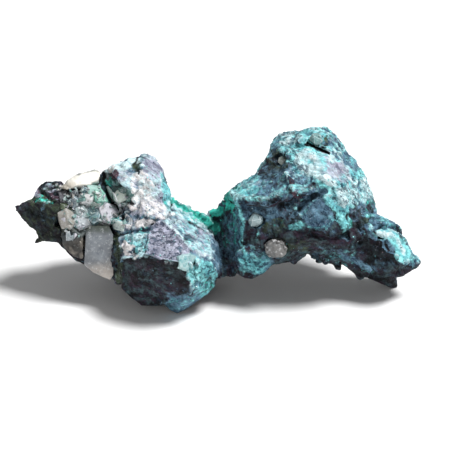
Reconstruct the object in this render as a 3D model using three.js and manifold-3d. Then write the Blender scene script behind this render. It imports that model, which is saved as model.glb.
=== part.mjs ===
// Native copper grown on calcite: a hand specimen of two knotty lobes of copper crystals joined by a
// crusted neck, with a calcite matrix set in the left lobe and loose calcite grains seated in the
// right one. Millimetres, +Z up. The specimen stands on flats worn on its lowest points.
//
// Shapes are laid out on the show face: x runs to the right, y runs back into the stone and z up the
// face. The whole specimen then leans back by LEAN, which is how it comes to rest.

import * as THREE from "three";
import { ConvexGeometry } from "three/addons/geometries/ConvexGeometry.js";
import { ImprovedNoise } from "three/addons/math/ImprovedNoise.js";
import { TessellateModifier } from "three/addons/modifiers/TessellateModifier.js";
import { mergeVertices } from "three/addons/utils/BufferGeometryUtils.js";
import Module from "manifold-3d";

// ---------------------------------------------------------------- driving dimensions

const LEAN = THREE.MathUtils.degToRad(25);
const REST_LEVEL = 0.55; // height of the resting flats above the layout origin
const FIT_GAP = 0.3; // clearance between the copper and each piece of calcite seated in it
const FACET_EDGE = 4.8; // longest triangle edge on a broken copper surface
const CRUST_RELIEF = 0.4; // how far the copper crust rolls in and out of a flat facet
const CRUST_WAVE = 3.2; // distance from one roll of the crust to the next
const KNOB_CORNERS = 13;
const KNOB_UNEVENNESS = 0.2; // share of its radius by which a knob's corners stand in or out
const GOLDEN_TURN = Math.PI * (3 - Math.sqrt(5));
const DROP_SIDES = 7;
const FLOOR_WIDTH = 200;
const FLOOR_DEPTH = 20;
const COPPER_CRUST = 0x4f8f92;
const CALCITE_WHITE = 0xdcdcd6;

// ---------------------------------------------------------------- the copper crystals

// Each entry is one large crystal or lump, given by its corners [x, y, z] on the show face.
const LEFT_LOBE = {
  front_crystal: [
    [-14.7, -8.5, 11.9], [-12.8, -6.5, 14.7], [-10.4, -5.5, 16.2], [-7, -9.5, 13.5],
    [-5.1, -12, 10.7], [-4.6, -13, 8.4], [-8.2, -14, 8.7], [-13.2, -12, 9.6],
    [-17.2, -8, 8.6], [-17, -5.6, 4], [-15.6, -4, 2.3], [-13.6, -3.5, 1.1],
    [-10.4, -4, 1.1], [-6.3, -7, 1.8], [-4.4, -10, 4.2],
    [-16.6, 6, 11], [-6, 6, 12.5], [-14.5, 3, 4], [-7, 4, 4],
  ],
  heel: [
    [-9.8, -2.4, 1], [-8.8, -2, 0.2], [-7.4, -2.2, -0.3], [-5.6, -2, 0.5], [-4, -3, 1.7],
    [-2.2, -4, 3], [-0.9, -4, 4.3], [-0.4, -5, 6.3], [-1, -8, 8.6], [-3.9, -11, 8.6],
    [-4.4, -9.5, 4.4], [-8.5, -5.5, 3], [-9.6, 5, 2.5], [-8, 6, 2.6], [-5.6, 6, 3], [-3, 7, 5],
    [-1, 7, 9],
  ],
  pale_slope: [
    [-10.6, -6.2, 16], [-8.6, 0, 19.4], [-7.2, 2, 19], [-5.2, 1, 17], [-3, 0, 15.4],
    [-1.2, -1, 13.4], [-0.9, -8, 8.7], [-3.9, -11, 8.6], [-5, -11.6, 11], [-7, -9.2, 13.6],
    [-8, 9, 18.4], [-2, 8, 13.5], [-1, 8, 8], [-10, 8, 12],
  ],
  side_lump: [
    [-1.5, -2, 13], [-0.3, -1.5, 12.2], [0.5, -1, 9.8], [1.2, 0, 7.2], [1.3, 0, 6],
    [-0.3, -2, 5.6], [-1.2, -3, 5.5], [-1.5, -6, 8.5], [0, 7, 11], [0.5, 7, 7.5], [-2, 7, 8],
  ],
  peak: [
    [-16, 1, 26.4], [-14, 1, 27.5], [-12.7, 1.5, 27.8], [-11.4, 2, 27], [-10.3, 1, 25.2],
    [-9.3, 1.5, 23.2], [-8.6, 2, 19.6], [-10.4, -5.6, 19.4], [-12.4, -4.5, 23.4],
    [-13.6, -3.5, 25.4], [-12, -6.6, 16], [-15, -4.6, 19.5], [-16, -3.5, 22],
    [-15.5, 8, 25], [-12, 8, 26.2], [-9.4, 9, 21], [-9, 9, 16.5], [-16, 9, 16.5],
  ],
  powdery_saddle: [
    [-13.8, -6.4, 19.6], [-11, -6.2, 20.6], [-8.8, -3.4, 20.6], [-8.2, -1.8, 18.9],
    [-8.8, -5.6, 16.4], [-11.2, -7.2, 16.2], [-13.4, -7, 17.4], [-9, 4, 20], [-9, 4, 16], [-14, 4, 18],
  ],
  shoulder: [
    [-18.8, -1, 25.2], [-17.6, 0, 26.1], [-16.6, 0, 26.8], [-15.4, 0, 27], [-13.8, -2.6, 24.8], [-14, -5.6, 21],
    [-15.3, -5.8, 20.6], [-17.2, -4.8, 22.4], [-18.7, -3, 23.6],
    [-18.6, 5, 24], [-14.5, 6, 24.5], [-15, 5, 19],
  ],
  pocket_floor: [
    [-21, 1, 24.4], [-19.4, 0, 24.9], [-18.4, 0, 25.4], [-14, -2, 22], [-13, -3, 16],
    [-16, -2.5, 12.5], [-20, -1, 14], [-21.5, 0, 18], [-20.5, 7, 23.4], [-12, 8, 22], [-12, 8, 12],
    [-20.5, 7, 12.5],
  ],
  saddle: [
    [-17.8, -3.4, 16.6], [-15, -4.8, 18.2], [-12.2, -6, 18.2], [-10.4, -5.8, 16.2],
    [-12.8, -7.2, 14.6], [-14.5, -8.6, 11.9], [-17.2, -6.6, 12.4], [-18.8, -4, 14.4],
    [-18.6, 5, 13], [-11, 6, 17], [-12, 6, 11],
  ],
  flank_ledge: [
    [-19, -4.6, 13.4], [-17.4, -6.8, 12.6], [-16.8, -7.6, 8.6], [-16.8, -5.6, 5],
    [-17.8, -2.5, 4.6], [-19.2, -1.2, 6], [-19.5, -3.4, 9], [-19, 6, 13], [-16, 6, 12],
    [-18.4, 5, 7.4], [-15.5, 5, 5],
  ],
};

const LEFT_WING = {
  wing_tip: [
    [-35.5, -0.5, 18.4], [-35.4, -0.5, 17.2], [-34.6, -0.5, 16.5], [-33.4, -0.5, 14.5], [-34.7, 1, 18.9],
    [-33.2, 0, 19.8], [-33, -1, 15.4], [-30, -3.2, 18.6], [-30, -3, 14.5],
    [-34, 2.5, 17.6], [-30, 4, 19.5], [-30, 4, 15],
  ],
  wing_top: [
    [-32.2, 1, 21.3], [-31.5, 1, 22.3], [-30.6, 0.5, 22.7], [-27.6, 0.5, 22.7],
    [-27, -3.2, 19], [-28.6, -4, 17.8], [-31.6, -2, 18.8], [-33, 0, 19.7],
    [-31, 5, 21.5], [-26.5, 6, 21.5], [-31, 5, 17.5], [-26, 6, 17],
  ],
  wing_body: [
    [-33.4, 0, 15.4], [-33.6, -1, 19], [-31.8, -1, 12.8], [-30.8, -1, 12.2], [-28.4, -2, 12.2],
    [-26.6, -3, 12.4], [-25.6, -4, 14.4], [-26, -4.2, 18], [-30.6, -3.6, 18.4],
    [-32, 4, 18], [-30, 5, 13.2], [-24.5, 7, 12], [-24, 7, 18.4],
  ],
  keel: [
    [-28.6, -1, 12.3], [-27, -1, 11], [-26.2, -1, 10.2], [-25.4, 0, 8.8], [-23.8, 0, 8], [-22.8, 0, 7.7],
    [-23.9, -3.6, 12], [-25.2, -4.6, 14], [-27.4, -3.6, 13.6],
    [-27.5, 6, 11.5], [-22.6, 8, 8.8], [-22.5, 8, 15],
  ],
  wing_spur: [
    [-32.6, 0, 11.7], [-32.2, 0.8, 12.8], [-30.4, 0, 12], [-31.6, -1, 12.2], [-31.4, 0.5, 13.4],
    [-31, -0.6, 13.2],
  ],
  back_wall: [
    [-27, 3, 21.6], [-22.6, 2.6, 23.6], [-17, 3, 24.5], [-15, 5, 9], [-19.4, 3.6, 7],
    [-24, 2.6, 8.6], [-27.6, 3, 12.6], [-25.4, 9, 20], [-17, 11, 21], [-16, 11.5, 12],
    [-19, 10, 8], [-24.6, 9, 11.4],
  ],
};

const RIGHT_LOBE = {
  crown: [
    [8.4, -1, 27.9], [9.7, 0, 30.5], [11.3, 1, 31.6], [14.2, 1, 31.8], [15, 0, 31.3],
    [15.6, -5, 28.6], [12.3, -6.6, 26], [9.5, -5, 25.5], [7.9, -2, 26.4],
    [8.4, 6, 26.6], [11, 8, 30.2], [16, 9, 30.2], [14, 9, 24],
  ],
  crest: [
    [13, 0, 31.4], [13.4, -4.6, 29.4], [16, 0, 32.1], [18.7, 0.5, 32.3], [20.2, 0.5, 30.8], [22, 1, 28.4],
    [21, -3.4, 26.4], [19, -5.2, 27.8], [15.4, -4.6, 29.6],
    [16, 8, 31], [20, 8, 29.8], [22, 8, 27], [16, 8, 26],
  ],
  right_slope: [
    [14.2, -5.6, 28.2], [18.8, -6, 27.2], [22, -0.6, 28.2], [23.4, 0, 26.9], [24.7, 0.4, 25.5],
    [25.8, 0.6, 23.4], [26.6, 0.6, 20.8], [27.2, 0.6, 18.4], [27.6, 0, 16.6], [25.4, -3.6, 15],
    [23.2, -6.6, 15], [22, -8.4, 20.2], [18.4, -9.6, 23.6], [14, -9.4, 21.2],
    [22, 9, 26.5], [26, 8, 20], [26, 7, 15], [14, 9, 16],
  ],
  brow: [
    [0.9, -1, 20.2], [1.8, 0, 21.7], [3.4, 0, 22.3], [5, 0, 23.1], [6.4, -1, 24], [8, -3, 25],
    [9.8, -5, 25.2], [12.4, -6.6, 25.6], [13.7, -9.4, 21.2], [12.3, -9.6, 19.4],
    [8.4, -8.8, 18.2], [4, -7.6, 18.2], [1.6, -4, 19.6],
    [2.4, 6, 20], [7, 6, 22.6], [12, 9, 23], [12, 8, 16], [3, 7, 16],
  ],
  brow_rise: [
    [5.8, 0, 23.6], [6.8, 0, 25.1], [7.9, 0, 27], [9.2, -2, 27.6], [10.4, -4.8, 26.4],
    [9.6, -4.6, 24.4], [7.4, -2.6, 24], [7, 5, 24.4], [9, 6, 27], [10, 6, 24],
  ],
  bright_band: [
    [9.8, -4.8, 27], [11.6, -5.4, 28.4], [15, -5.8, 28.2], [19, -6.8, 26.2], [21.8, -7.6, 22.4],
    [21.4, -9, 20.2], [16.8, -9.8, 20.6], [13.6, -10, 20.1], [12, -9.4, 21.2], [10.8, -7.2, 24.6],
    [12, 2, 26], [19, 2, 24], [14, 2, 20],
  ],
  oval_crystal: [
    [14.4, -9, 17], [15.8, -10, 19], [19.2, -10.2, 20.4], [22, -9, 19.6], [23, -7.8, 17],
    [22, -8, 14], [19.4, -8.8, 12.9], [16, -9.4, 13.7], [14.4, -9.2, 15],
    [15, 2, 20], [22, 2, 19], [22, 2, 14], [15, 2, 14],
  ],
  belly: [
    [4, -6.4, 17.6], [8.4, -7.2, 17.6], [12.3, -8.6, 18.4], [14.4, -8.8, 16.2],
    [15.4, -8.4, 12.8], [15.2, -4, 10.4], [15, -1.6, 9.6], [13.8, -1.4, 8.9], [11.4, -2.6, 8.4], [9.4, -3.6, 8.2],
    [7.2, -4.6, 8.8], [3.6, -5.4, 12.4], [4, 7, 16], [14, 10, 14], [14.6, 6, 10.6], [6, 6, 10.2],
  ],
  far_belly: [
    [14.4, -7.4, 16], [15, -8.2, 12.8], [22, -7, 12.2], [25.3, -3.6, 12.4], [24.6, -1, 8.6],
    [21.8, 0, 8.1], [19.8, -0.6, 8], [17.6, -1, 8.6], [16.2, -2.6, 9.6], [14.8, -4, 10.4],
    [13.6, 9, 14], [24, 7, 14], [22, 6.4, 10.8], [15, 6, 10.8],
  ],
  end_saddle: [
    [22, -6.6, 16.6], [25, -4.6, 17.2], [26.9, -2.8, 16.6], [26.6, -4.6, 13.4], [24.6, -5.6, 12],
    [22.4, -6.8, 12.6], [23, 4, 16], [27, 4, 16], [26, 4, 11.6], [22.5, 4, 12],
  ],
  teal_bulge: [
    [2.2, -3.6, 8.6], [2.8, -2.6, 6.7], [4, -2.6, 5.7], [5.6, -2.6, 5.7], [7.3, -2.8, 6.4],
    [8.6, -3, 7.5], [9.2, -4, 8.8], [7.3, -5.6, 10.8], [5.2, -6.2, 11.6], [3, -5.4, 10.7],
    [3, 5, 9], [7, 5, 9.2], [5, 5, 7.8], [5, 3, 12],
  ],
  left_flank: [
    [0.2, 2.6, 18.2], [0.9, 0, 19.8], [1.9, -2.4, 19.8], [3.6, -6.2, 18], [4.2, -5, 11.6],
    [2.8, -2, 7.4], [2.8, -1, 6.2], [1.3, 0.6, 5.9], [0.2, 1, 9.8], [-0.7, 2.4, 13], [0.4, 7, 17], [3, 8, 9.4],
    [5, 8, 16],
  ],
  under_ledge: [
    [20.6, -3.4, 10.6], [25.2, -4.4, 11.6], [27.2, -3.4, 9.8], [26.4, -1, 6.2], [24.4, 0, 5.7],
    [22.8, 0, 7.6], [21.6, 0, 7.9], [22, 6, 9.8], [27, 5, 9], [26.5, 5, 7.8],
  ],
};

const RIGHT_END = {
  neck_knot: [
    [26.6, -0.6, 17.6], [27.6, -2, 16.4], [29, -2, 16], [30, -1, 15.8], [31.6, 0, 14.6],
    [32, 0, 13.2], [31.2, -3, 12.4], [28.8, -5, 12.8], [26.6, -5.2, 13.8], [25, -3, 15],
    [27, 6, 15.5], [31, 5, 13.5], [26, 6, 12], [24, 2, 16],
  ],
  bright_shell: [
    [28.8, -5, 13.2], [30.6, -3, 13.8], [32.4, -1, 12.8], [33.5, 0, 11], [33.6, -1, 8.6],
    [32.4, -3, 7.5], [30.6, -5, 8.6], [28.4, -6, 11.6], [32, 5, 12], [32.5, 5, 8.5], [28, 5, 10],
  ],
  dark_knuckle: [
    [24.9, -4.6, 12.4], [28, -6, 12.8], [30.6, -5.6, 9.8], [31.2, -3.6, 7.5], [30.6, -1.8, 6],
    [28, -1.8, 6], [25.4, -3, 8.6], [24.2, -3.6, 10.7], [25, 5, 11.5], [30.5, 6, 9.5], [27, 6, 8],
  ],
  tip: [
    [32.4, 0, 9.8], [33.8, 0, 10.7], [34.9, 0.4, 9.4], [35.3, 0.6, 8.6], [34.9, 0.6, 7.7],
    [32.4, -0.6, 6.3], [31.4, -1.6, 6], [31.2, -2.6, 7.6], [34, 3, 8.6], [31.5, 6, 9], [31, 6, 7.4],
  ],
  toe: [
    [25.4, 3, 6.1], [27.2, 4, 5.3], [29, 5.4, 4.5], [30.2, 6.4, 3.9], [31.2, 7.2, 3.6],
    [31.7, 7.4, 3.8], [30.9, 6, 5.2], [31.2, 4, 6.2], [28, 1, 7.2], [27, 8, 7.4],
    [30.2, 8.6, 4.2], [31, 9, 7.2],
  ],
};

const BACK = {
  left_back: [
    [-18.6, 7, 9.6], [-15.6, 11, 5.8], [-12.4, 12.4, 5.4], [-9.6, 12, 5.3], [-6, 12, 6.4],
    [-3, 9, 7.6], [-2, 8, 14],
    [-9.6, 9.5, 19.6], [-14, 8.5, 23.5], [-19, 8, 18], [-11, 13, 13], [-7, 12.5, 16],
    [-8, 3, 4], [-14, 3, 5], [-8, 2, 18], [-14, 2, 20],
  ],
  neck_core: [
    [-7.6, 2.4, 17.4], [-5.2, 3.4, 16.4], [-1.8, 3.8, 15], [0.8, 3.6, 15.4], [2, 2, 11],
    [-3, 2, 8], [-7, 8, 16], [-1, 10, 13.6], [4, 9, 15], [4, 8, 9.4], [-2, 9.5, 8], [0, 4, 7.4],
  ],
  bridge_ridge: [
    [-8.6, 2, 19.4], [-7.6, 3, 18.8], [-6.2, 3.4, 18.4], [-5, 3.4, 17.6], [-4.2, 2.6, 16],
    [-6.6, 1.4, 16.4], [-8.4, 1.4, 17.6], [-7.6, 5, 18], [-5, 5.4, 16.6],
  ],
  bridge_lip: [
    [-5.4, 2.8, 17.6], [-4, 3.2, 17.2], [-2.6, 3, 16.6], [-1.6, 2.8, 16.6], [-0.9, 1.6, 15],
    [-3, 1.2, 14.2], [-5, 1.6, 15.4], [-4, 6, 16], [-1.6, 6.4, 15.2],
  ],
  right_back: [
    [2.6, 7, 17.6], [7, 10, 22.4], [11, 10, 28], [17, 10, 28.6], [22, 9.6, 25], [25.6, 8, 18.4],
    [24, 9.6, 13], [17, 12.4, 12.6], [10, 11, 10.4], [5, 9, 10.6], [12, 13.5, 18.6],
    [18, 13, 20], [8, 3, 12], [20, 3, 14], [12, 3, 26], [20, 3, 24],
  ],
  end_back: [
    [23.5, 6, 13.5], [27, 7.5, 14], [31, 6, 12], [32.4, 5, 9], [30, 8.5, 8.4], [25, 9, 8.6],
    [22, 8, 10], [28, 2, 12], [28, 2, 8],
  ],
};

// ---------------------------------------------------------------- small growths on the copper

// Rounded crust knobs: [x, y, z, radius].
const KNOBS = [
  [-35, -0.4, 18, 1],
  [-8.5, 2.6, 19, 0.9],
  [-7.2, 3.4, 18.3, 0.8],
  [-5.9, 2.6, 17.5, 1.15],
  [-4.4, 3, 16.8, 0.8],
  [-3.2, 2.2, 16.2, 1.1],
  [-1.8, 3, 16.2, 0.95],
  [-1, 2.4, 17.3, 0.85],
  [-0.3, 3, 17.6, 0.8],
  [0.2, 2, 16.8, 0.9],
  [0.5, 1.6, 18.4, 0.9],
  [1.2, 0.4, 20, 0.95],
  [2, -1.6, 20.2, 1],
  [28.4, -3.6, 15.1, 1],
  [30.6, -1.4, 14.4, 1.1],
  [31.3, -2.2, 12.8, 0.9],
  [25.2, -4.8, 16.2, 1],
  [23.6, -6.2, 15.4, 0.9],
  [26.2, -4.2, 12.8, 1.2],
  [24.2, -6, 13.6, 0.95],
  [16.5, -3.2, 9.8, 1.1],
  [18.4, -2.4, 8.9, 0.95],
  [24.4, -2.2, 9.2, 1],
  [-16.6, -6.8, 10.2, 0.9],
  [-15.8, -7.4, 11.6, 0.95],
  [-17.6, -5.8, 8.2, 0.8],
];

// Drops hanging under the right lobe: [x, y, z of the lowest point, length, radius].
const DROPS = [
  [12.9, -1.2, 8.1, 2.4, 0.75],
  [11.2, -1.8, 8.4, 2, 0.7],
  [20.6, -1, 7, 2.4, 0.85],
  [22.4, -0.6, 8, 1.8, 0.6],
  [24.5, 0, 5.4, 2.6, 0.95],
  [25.6, 0.8, 5.7, 2, 0.7],
  [17.3, -0.8, 8.3, 1.8, 0.8],
];

// ---------------------------------------------------------------- hollows in the copper

const HOLLOWS = {
  crown_cavity: [
    [8.8, -9, 27.2], [9.6, -9, 29], [11.2, -9, 28.6], [11.9, -9, 26.6], [10.9, -9, 25],
    [9, -9, 24.8], [9.6, -2, 26.8], [10.8, -2, 27.4], [10.6, -2.4, 26],
  ],
  crown_slot: [
    [14.9, -8, 29.55], [15, -8, 29.05], [18.9, -8, 27.7], [18.95, -8, 27.25],
    [15.2, -2, 30.1], [15.2, -2, 29.6], [18.8, -2, 28.4], [18.8, -2, 27.9],
  ],
  pocket_crevice: [
    [-20.9, -6, 23.4], [-20, -6, 23.2], [-18, -6.4, 18.4], [-17.3, -6.4, 15.4], [-18.7, -6, 16.4],
    [-20.2, -6, 19.6], [-20.2, 1.4, 21.6], [-18.6, 1, 18.6], [-17.9, 0.4, 16.2],
  ],
  edge_hole: [
    [25.6, -6, 18.2], [26.1, -6, 18.8], [26.9, -6, 18.4], [26.8, -6, 17.5], [26, -6, 17.4],
    [26.1, 0.8, 18.1], [26.5, 0.8, 17.9],
  ],
  neck_hole: [
    [-0.6, -3, 16.6], [0.4, -3, 17.2], [0.8, -3, 16.2], [0.3, -3, 15.2], [-0.6, -3, 15.6],
    [-0.2, 4.4, 16.4], [0.4, 4.4, 16.2],
  ],
  right_groove: [
    [24.2, -9, 17.2], [25.2, -9, 16.6], [23.6, -10, 13], [22.6, -10, 13.4],
    [24.8, -3.8, 16.6], [23.4, -5.2, 13.6],
  ],
};

// ---------------------------------------------------------------- the calcite

const MATRIX = {
  ground_mass: [
    [-27.4, -2, 19.6], [-25.4, -2, 21.4], [-21.2, -2.2, 21.8], [-20.4, -3, 18], [-19, -3.6, 16],
    [-20, -3.2, 13], [-25, -3.2, 13.4], [-27.6, -2.8, 15.2],
    [-26, 1.8, 20], [-21.6, 1.8, 20.6], [-20.4, 1.8, 14], [-26, 1.8, 14.6],
  ],
  grey_block: [
    [-23.6, -4.2, 14.9], [-22.6, -4.7, 15.2], [-19.8, -5, 15.2], [-18.9, -5.2, 12.4],
    [-18.9, -3.6, 6.4], [-19.2, -2.6, 5.6], [-20.6, -2.4, 6.2], [-22, -2.4, 6.9], [-23.7, -2.8, 8.1],
    [-24, -4, 12.6], [-23, 1.6, 14], [-19.6, 1.8, 14], [-19.6, 0.6, 7.4], [-22.6, 0.8, 9],
  ],
  white_cap: [
    [-27.8, -1.8, 21.6], [-26.6, -2.6, 22.8], [-24.4, -3, 24], [-22, -2.6, 24.6], [-21, -1.8, 24.2],
    [-21.2, -2.6, 22.4], [-23.4, -3.6, 21.6], [-26.2, -3.2, 21.2],
    [-26.6, 1.6, 22.6], [-21.6, 1.8, 24.5], [-22, 1.8, 21.4], [-26.4, 1.6, 20.8],
  ],
  mint_slope: [
    [-23, -3.2, 21.4], [-20.8, -3, 22], [-19.6, -3.8, 19.2], [-20.4, -4.6, 18.4],
    [-22.6, -4.2, 18.8], [-22, 0, 21], [-20.6, 0, 19],
  ],
  side_rock: [
    [-27.8, -3, 14.6], [-26, -4.2, 14.8], [-24, -4.4, 13], [-24, -3.6, 9.4], [-25.4, -2.8, 9.8],
    [-27.2, -2.2, 11.6], [-26.4, 1, 13.6], [-24, 1, 10.4], [-23.6, 1, 14],
  ],
};

// Cleavage rhombs on the matrix: [x, y, z, width, depth, height, turn about x, y and z in degrees].
const RHOMBS = [
  [-25.6, -2.6, 19.1, 1.5, 2.2, 1.5, 8, 45, -8],
  [-23.4, -2.8, 19.6, 1.9, 2.4, 1.3, -6, 12, 10],
  [-24.1, -3.2, 17.4, 2.1, 2.6, 1.8, 12, 4, -14],
  [-21.8, -3.8, 16.9, 2.2, 2.6, 2.4, 6, 28, 8],
  [-19.7, -4.2, 17.6, 2, 2.4, 2.1, -10, 20, 18],
  [-18.8, -4.4, 16, 1.7, 2.2, 1.7, 14, -18, -6],
  [-26.8, -3, 16.2, 2.3, 2.8, 2.4, 10, 6, -10],
  [-23.8, -2.6, 20.9, 1.1, 2.4, 1, 20, 32, 0],
  [-25.2, -3.2, 14.2, 1.6, 2.4, 1.5, -12, 24, 6],
];
const CLEAVAGE_SHEAR = Math.tan(THREE.MathUtils.degToRad(12));

// Calcite grains seated alone in the right lobe: where they sit, their half sizes, and their turn.
const GRAINS = {
  calcite_grain_upper: { at: [6.2, -6.6, 15.8], half: [1.25, 1.5, 1.2], turn: [10, 35, 15] },
  calcite_grain_lower: { at: [9.7, -6.2, 11.1], half: [1.95, 2.1, 1.85], turn: [20, -12, 30] },
  calcite_grain_crest: { at: [16.6, -3.6, 29.9], half: [1.15, 1.4, 1.05], turn: [0, 24, 40] },
  calcite_grain_cavity: { at: [10.9, -4.6, 26.2], half: [0.85, 1.2, 0.65], turn: [15, 20, -20] },
};
const GRAIN_SQUARENESS = 0.84; // half side of a grain's rhomb against the radius that rounds it

// ---------------------------------------------------------------- making solids

const TESSELLATION_PASSES = 12;
const SAME_POINT = 1e-5;
const wasm = await Module();
wasm.setup();
const noise = new ImprovedNoise();

// One closed surface as a solid.
function solidOf(geometry) {
  const bare = new THREE.BufferGeometry();
  bare.setAttribute("position", geometry.getAttribute("position"));
  bare.setIndex(geometry.index);
  const surface = mergeVertices(bare, SAME_POINT);
  const mesh = new wasm.Mesh({
    numProp: 3,
    vertProperties: surface.getAttribute("position").array,
    triVerts: new Uint32Array(surface.index.array),
  });
  return new wasm.Manifold(mesh);
}

function geometryOf(solid) {
  const { vertProperties, triVerts } = solid.getMesh();
  const geometry = new THREE.BufferGeometry();
  geometry.setAttribute("position", new THREE.BufferAttribute(vertProperties, 3));
  geometry.setIndex(new THREE.BufferAttribute(triVerts, 1));
  return geometry;
}

function fused(solids) {
  return solids.reduce((whole, solid) => whole.add(solid));
}

// The one body a fusion holds, without the chips and sealed voids left between its lumps.
function bodyOf(solid) {
  return solid.decompose().reduce((best, body) => (body.volume() > best.volume() ? body : best));
}

// A flat-faced crystal from its corners, grown by a margin away from its middle.
function crystal(corners, margin = 0) {
  const points = corners.map((corner) => new THREE.Vector3(...corner));
  const middle = new THREE.Vector3();
  for (const point of points) {
    middle.addScaledVector(point, 1 / points.length);
  }
  for (const point of points) {
    const away = point.clone().sub(middle);
    point.addScaledVector(away.normalize(), margin);
  }
  return solidOf(new ConvexGeometry(points));
}

// The crust rolls every face: each point moves by up to a relief in all three directions.
function rolled(geometry, relief) {
  const position = geometry.getAttribute("position");
  for (let i = 0; i < position.count; i++) {
    const x = position.getX(i);
    const y = position.getY(i);
    const z = position.getZ(i);
    const [u, v, w] = [x / CRUST_WAVE, y / CRUST_WAVE, z / CRUST_WAVE];
    position.setXYZ(
      i,
      x + relief * noise.noise(u + 11.3, v + 4.7, w + 7.9),
      y + relief * noise.noise(u + 31.1, v + 17.6, w + 2.3),
      z + relief * noise.noise(u + 5.9, v + 23.8, w + 41.2),
    );
  }
  return geometry;
}

function crusted(solid) {
  const faces = new TessellateModifier(FACET_EDGE, TESSELLATION_PASSES).modify(geometryOf(solid));
  return solidOf(rolled(faces, CRUST_RELIEF));
}

// A geodesic ball stretched to its half sizes.
function ball([x, y, z], half) {
  const round = new THREE.IcosahedronGeometry(1, 1);
  round.scale(...half);
  round.translate(x, y, z);
  return solidOf(round);
}

// A crust knob: corners spread evenly round a ball, each drawn in or out by its own amount.
function knob([x, y, z, radius], index) {
  const corners = [];
  for (let i = 0; i < KNOB_CORNERS; i++) {
    const up = 1 - (2 * i + 1) / KNOB_CORNERS;
    const across = Math.sqrt(1 - up * up);
    const turn = i * GOLDEN_TURN;
    const reach = radius * (1 + KNOB_UNEVENNESS * Math.sin(7 * index + 5 * i));
    const spread = reach * across;
    corners.push([x + spread * Math.cos(turn), y + spread * Math.sin(turn), z + reach * up]);
  }
  return crystal(corners);
}

// A cleavage rhomb: a box with two of its directions leaning over.
function rhomb([x, y, z, width, depth, height, turnX, turnY, turnZ], margin = 0) {
  const block = new THREE.BoxGeometry(width + 2 * margin, depth + 2 * margin, height + 2 * margin);
  block.applyMatrix4(new THREE.Matrix4().makeShear(0, CLEAVAGE_SHEAR, 0, 0, CLEAVAGE_SHEAR, 0));
  block.rotateX(THREE.MathUtils.degToRad(turnX));
  block.rotateY(THREE.MathUtils.degToRad(turnY));
  block.rotateZ(THREE.MathUtils.degToRad(turnZ));
  block.translate(x, y, z);
  return solidOf(block);
}

// A drop: a round end under a stalk that runs up into the lump above it.
function drop([x, y, z, length, radius]) {
  const profile = [
    [0, 0],
    [0.7 * radius, 0.08 * length],
    [radius, 0.32 * length],
    [0.8 * radius, 0.6 * length],
    [0.8 * radius, length],
    [0, length],
  ];
  const round = new THREE.LatheGeometry(
    profile.map(([across, up]) => new THREE.Vector2(across, up)),
    DROP_SIDES,
  );
  round.rotateX(Math.PI / 2);
  round.translate(x, y, z);
  return solidOf(round);
}

// ---------------------------------------------------------------- the pieces of the specimen

function copperMass() {
  const lumps = [LEFT_LOBE, LEFT_WING, RIGHT_LOBE, RIGHT_END, BACK].flatMap(Object.values);
  const crystals = bodyOf(fused(lumps.map((corners) => crystal(corners))));
  const growths = [...KNOBS.map(knob), ...DROPS.map(drop)];
  const hollows = Object.values(HOLLOWS).map((corners) => crystal(corners));
  const seats = [calciteMatrix(FIT_GAP), ...Object.values(GRAINS).map((one) => grain(one, FIT_GAP))];
  const broken = crusted(crystals).subtract(fused(hollows));
  return bodyOf(fused([broken, ...growths]).subtract(fused([...seats, restFlat()])));
}

function calciteMatrix(margin) {
  const masses = Object.values(MATRIX).map((corners) => crystal(corners, margin));
  const rhombs = RHOMBS.map((one) => rhomb(one, margin));
  return fused([...masses, ...rhombs]);
}

// A worn grain: a cleavage rhomb with its corners and edges rounded off.
function grain({ at, half, turn }, margin) {
  const grown = half.map((size) => size + margin);
  const sides = grown.map((size) => 2 * GRAIN_SQUARENESS * size);
  return ball(at, grown).intersect(rhomb([...at, ...sides, ...turn]));
}

// The ground the specimen has worn its flats on, as a slab of the show face's frame.
function restFlat() {
  const slab = new THREE.BoxGeometry(FLOOR_WIDTH, FLOOR_WIDTH, FLOOR_DEPTH);
  slab.translate(0, 0, REST_LEVEL - FLOOR_DEPTH / 2);
  slab.rotateX(LEAN);
  return solidOf(slab);
}

// ---------------------------------------------------------------- building

const pieces = { copper_mass: copperMass(), calcite_matrix: calciteMatrix(0) };
for (const [name, one] of Object.entries(GRAINS)) {
  pieces[name] = grain(one, 0);
}

const specimen = new THREE.Group();
specimen.name = "copper_on_calcite";
for (const [name, solid] of Object.entries(pieces)) {
  const color = name === "copper_mass" ? COPPER_CRUST : CALCITE_WHITE;
  const material = new THREE.MeshStandardMaterial({ color, roughness: 0.7, metalness: 0 });
  const mesh = new THREE.Mesh(geometryOf(solid).rotateX(-LEAN), material);
  mesh.name = name;
  specimen.add(mesh);
}

// The origin sits under the middle of the bounding box, on the resting flats.
const bounds = new THREE.Box3().setFromObject(specimen, true);
const middle = bounds.getCenter(new THREE.Vector3());
for (const mesh of specimen.children) {
  mesh.geometry.translate(-middle.x, -middle.y, -bounds.min.z);
  mesh.geometry.computeVertexNormals();
}

export default specimen;
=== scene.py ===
"""Dresses a hand specimen of native copper grown on calcite.

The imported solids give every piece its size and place. This script gives the copper its crusts, grit
and tarnish, and makes the calcite clear, milky or white, then lights the piece on a pale floor.
"""

import logging
import math
from collections.abc import Iterable
from dataclasses import dataclass, field, replace
from enum import Enum

import bmesh
import bpy
import numpy as np
from bmesh.types import BMesh, BMVert
from bpy.types import ID, Material, Mesh, Node, NodeSocket, NodeTree, Object
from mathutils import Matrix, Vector
from mathutils.bvhtree import BVHTree


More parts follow.
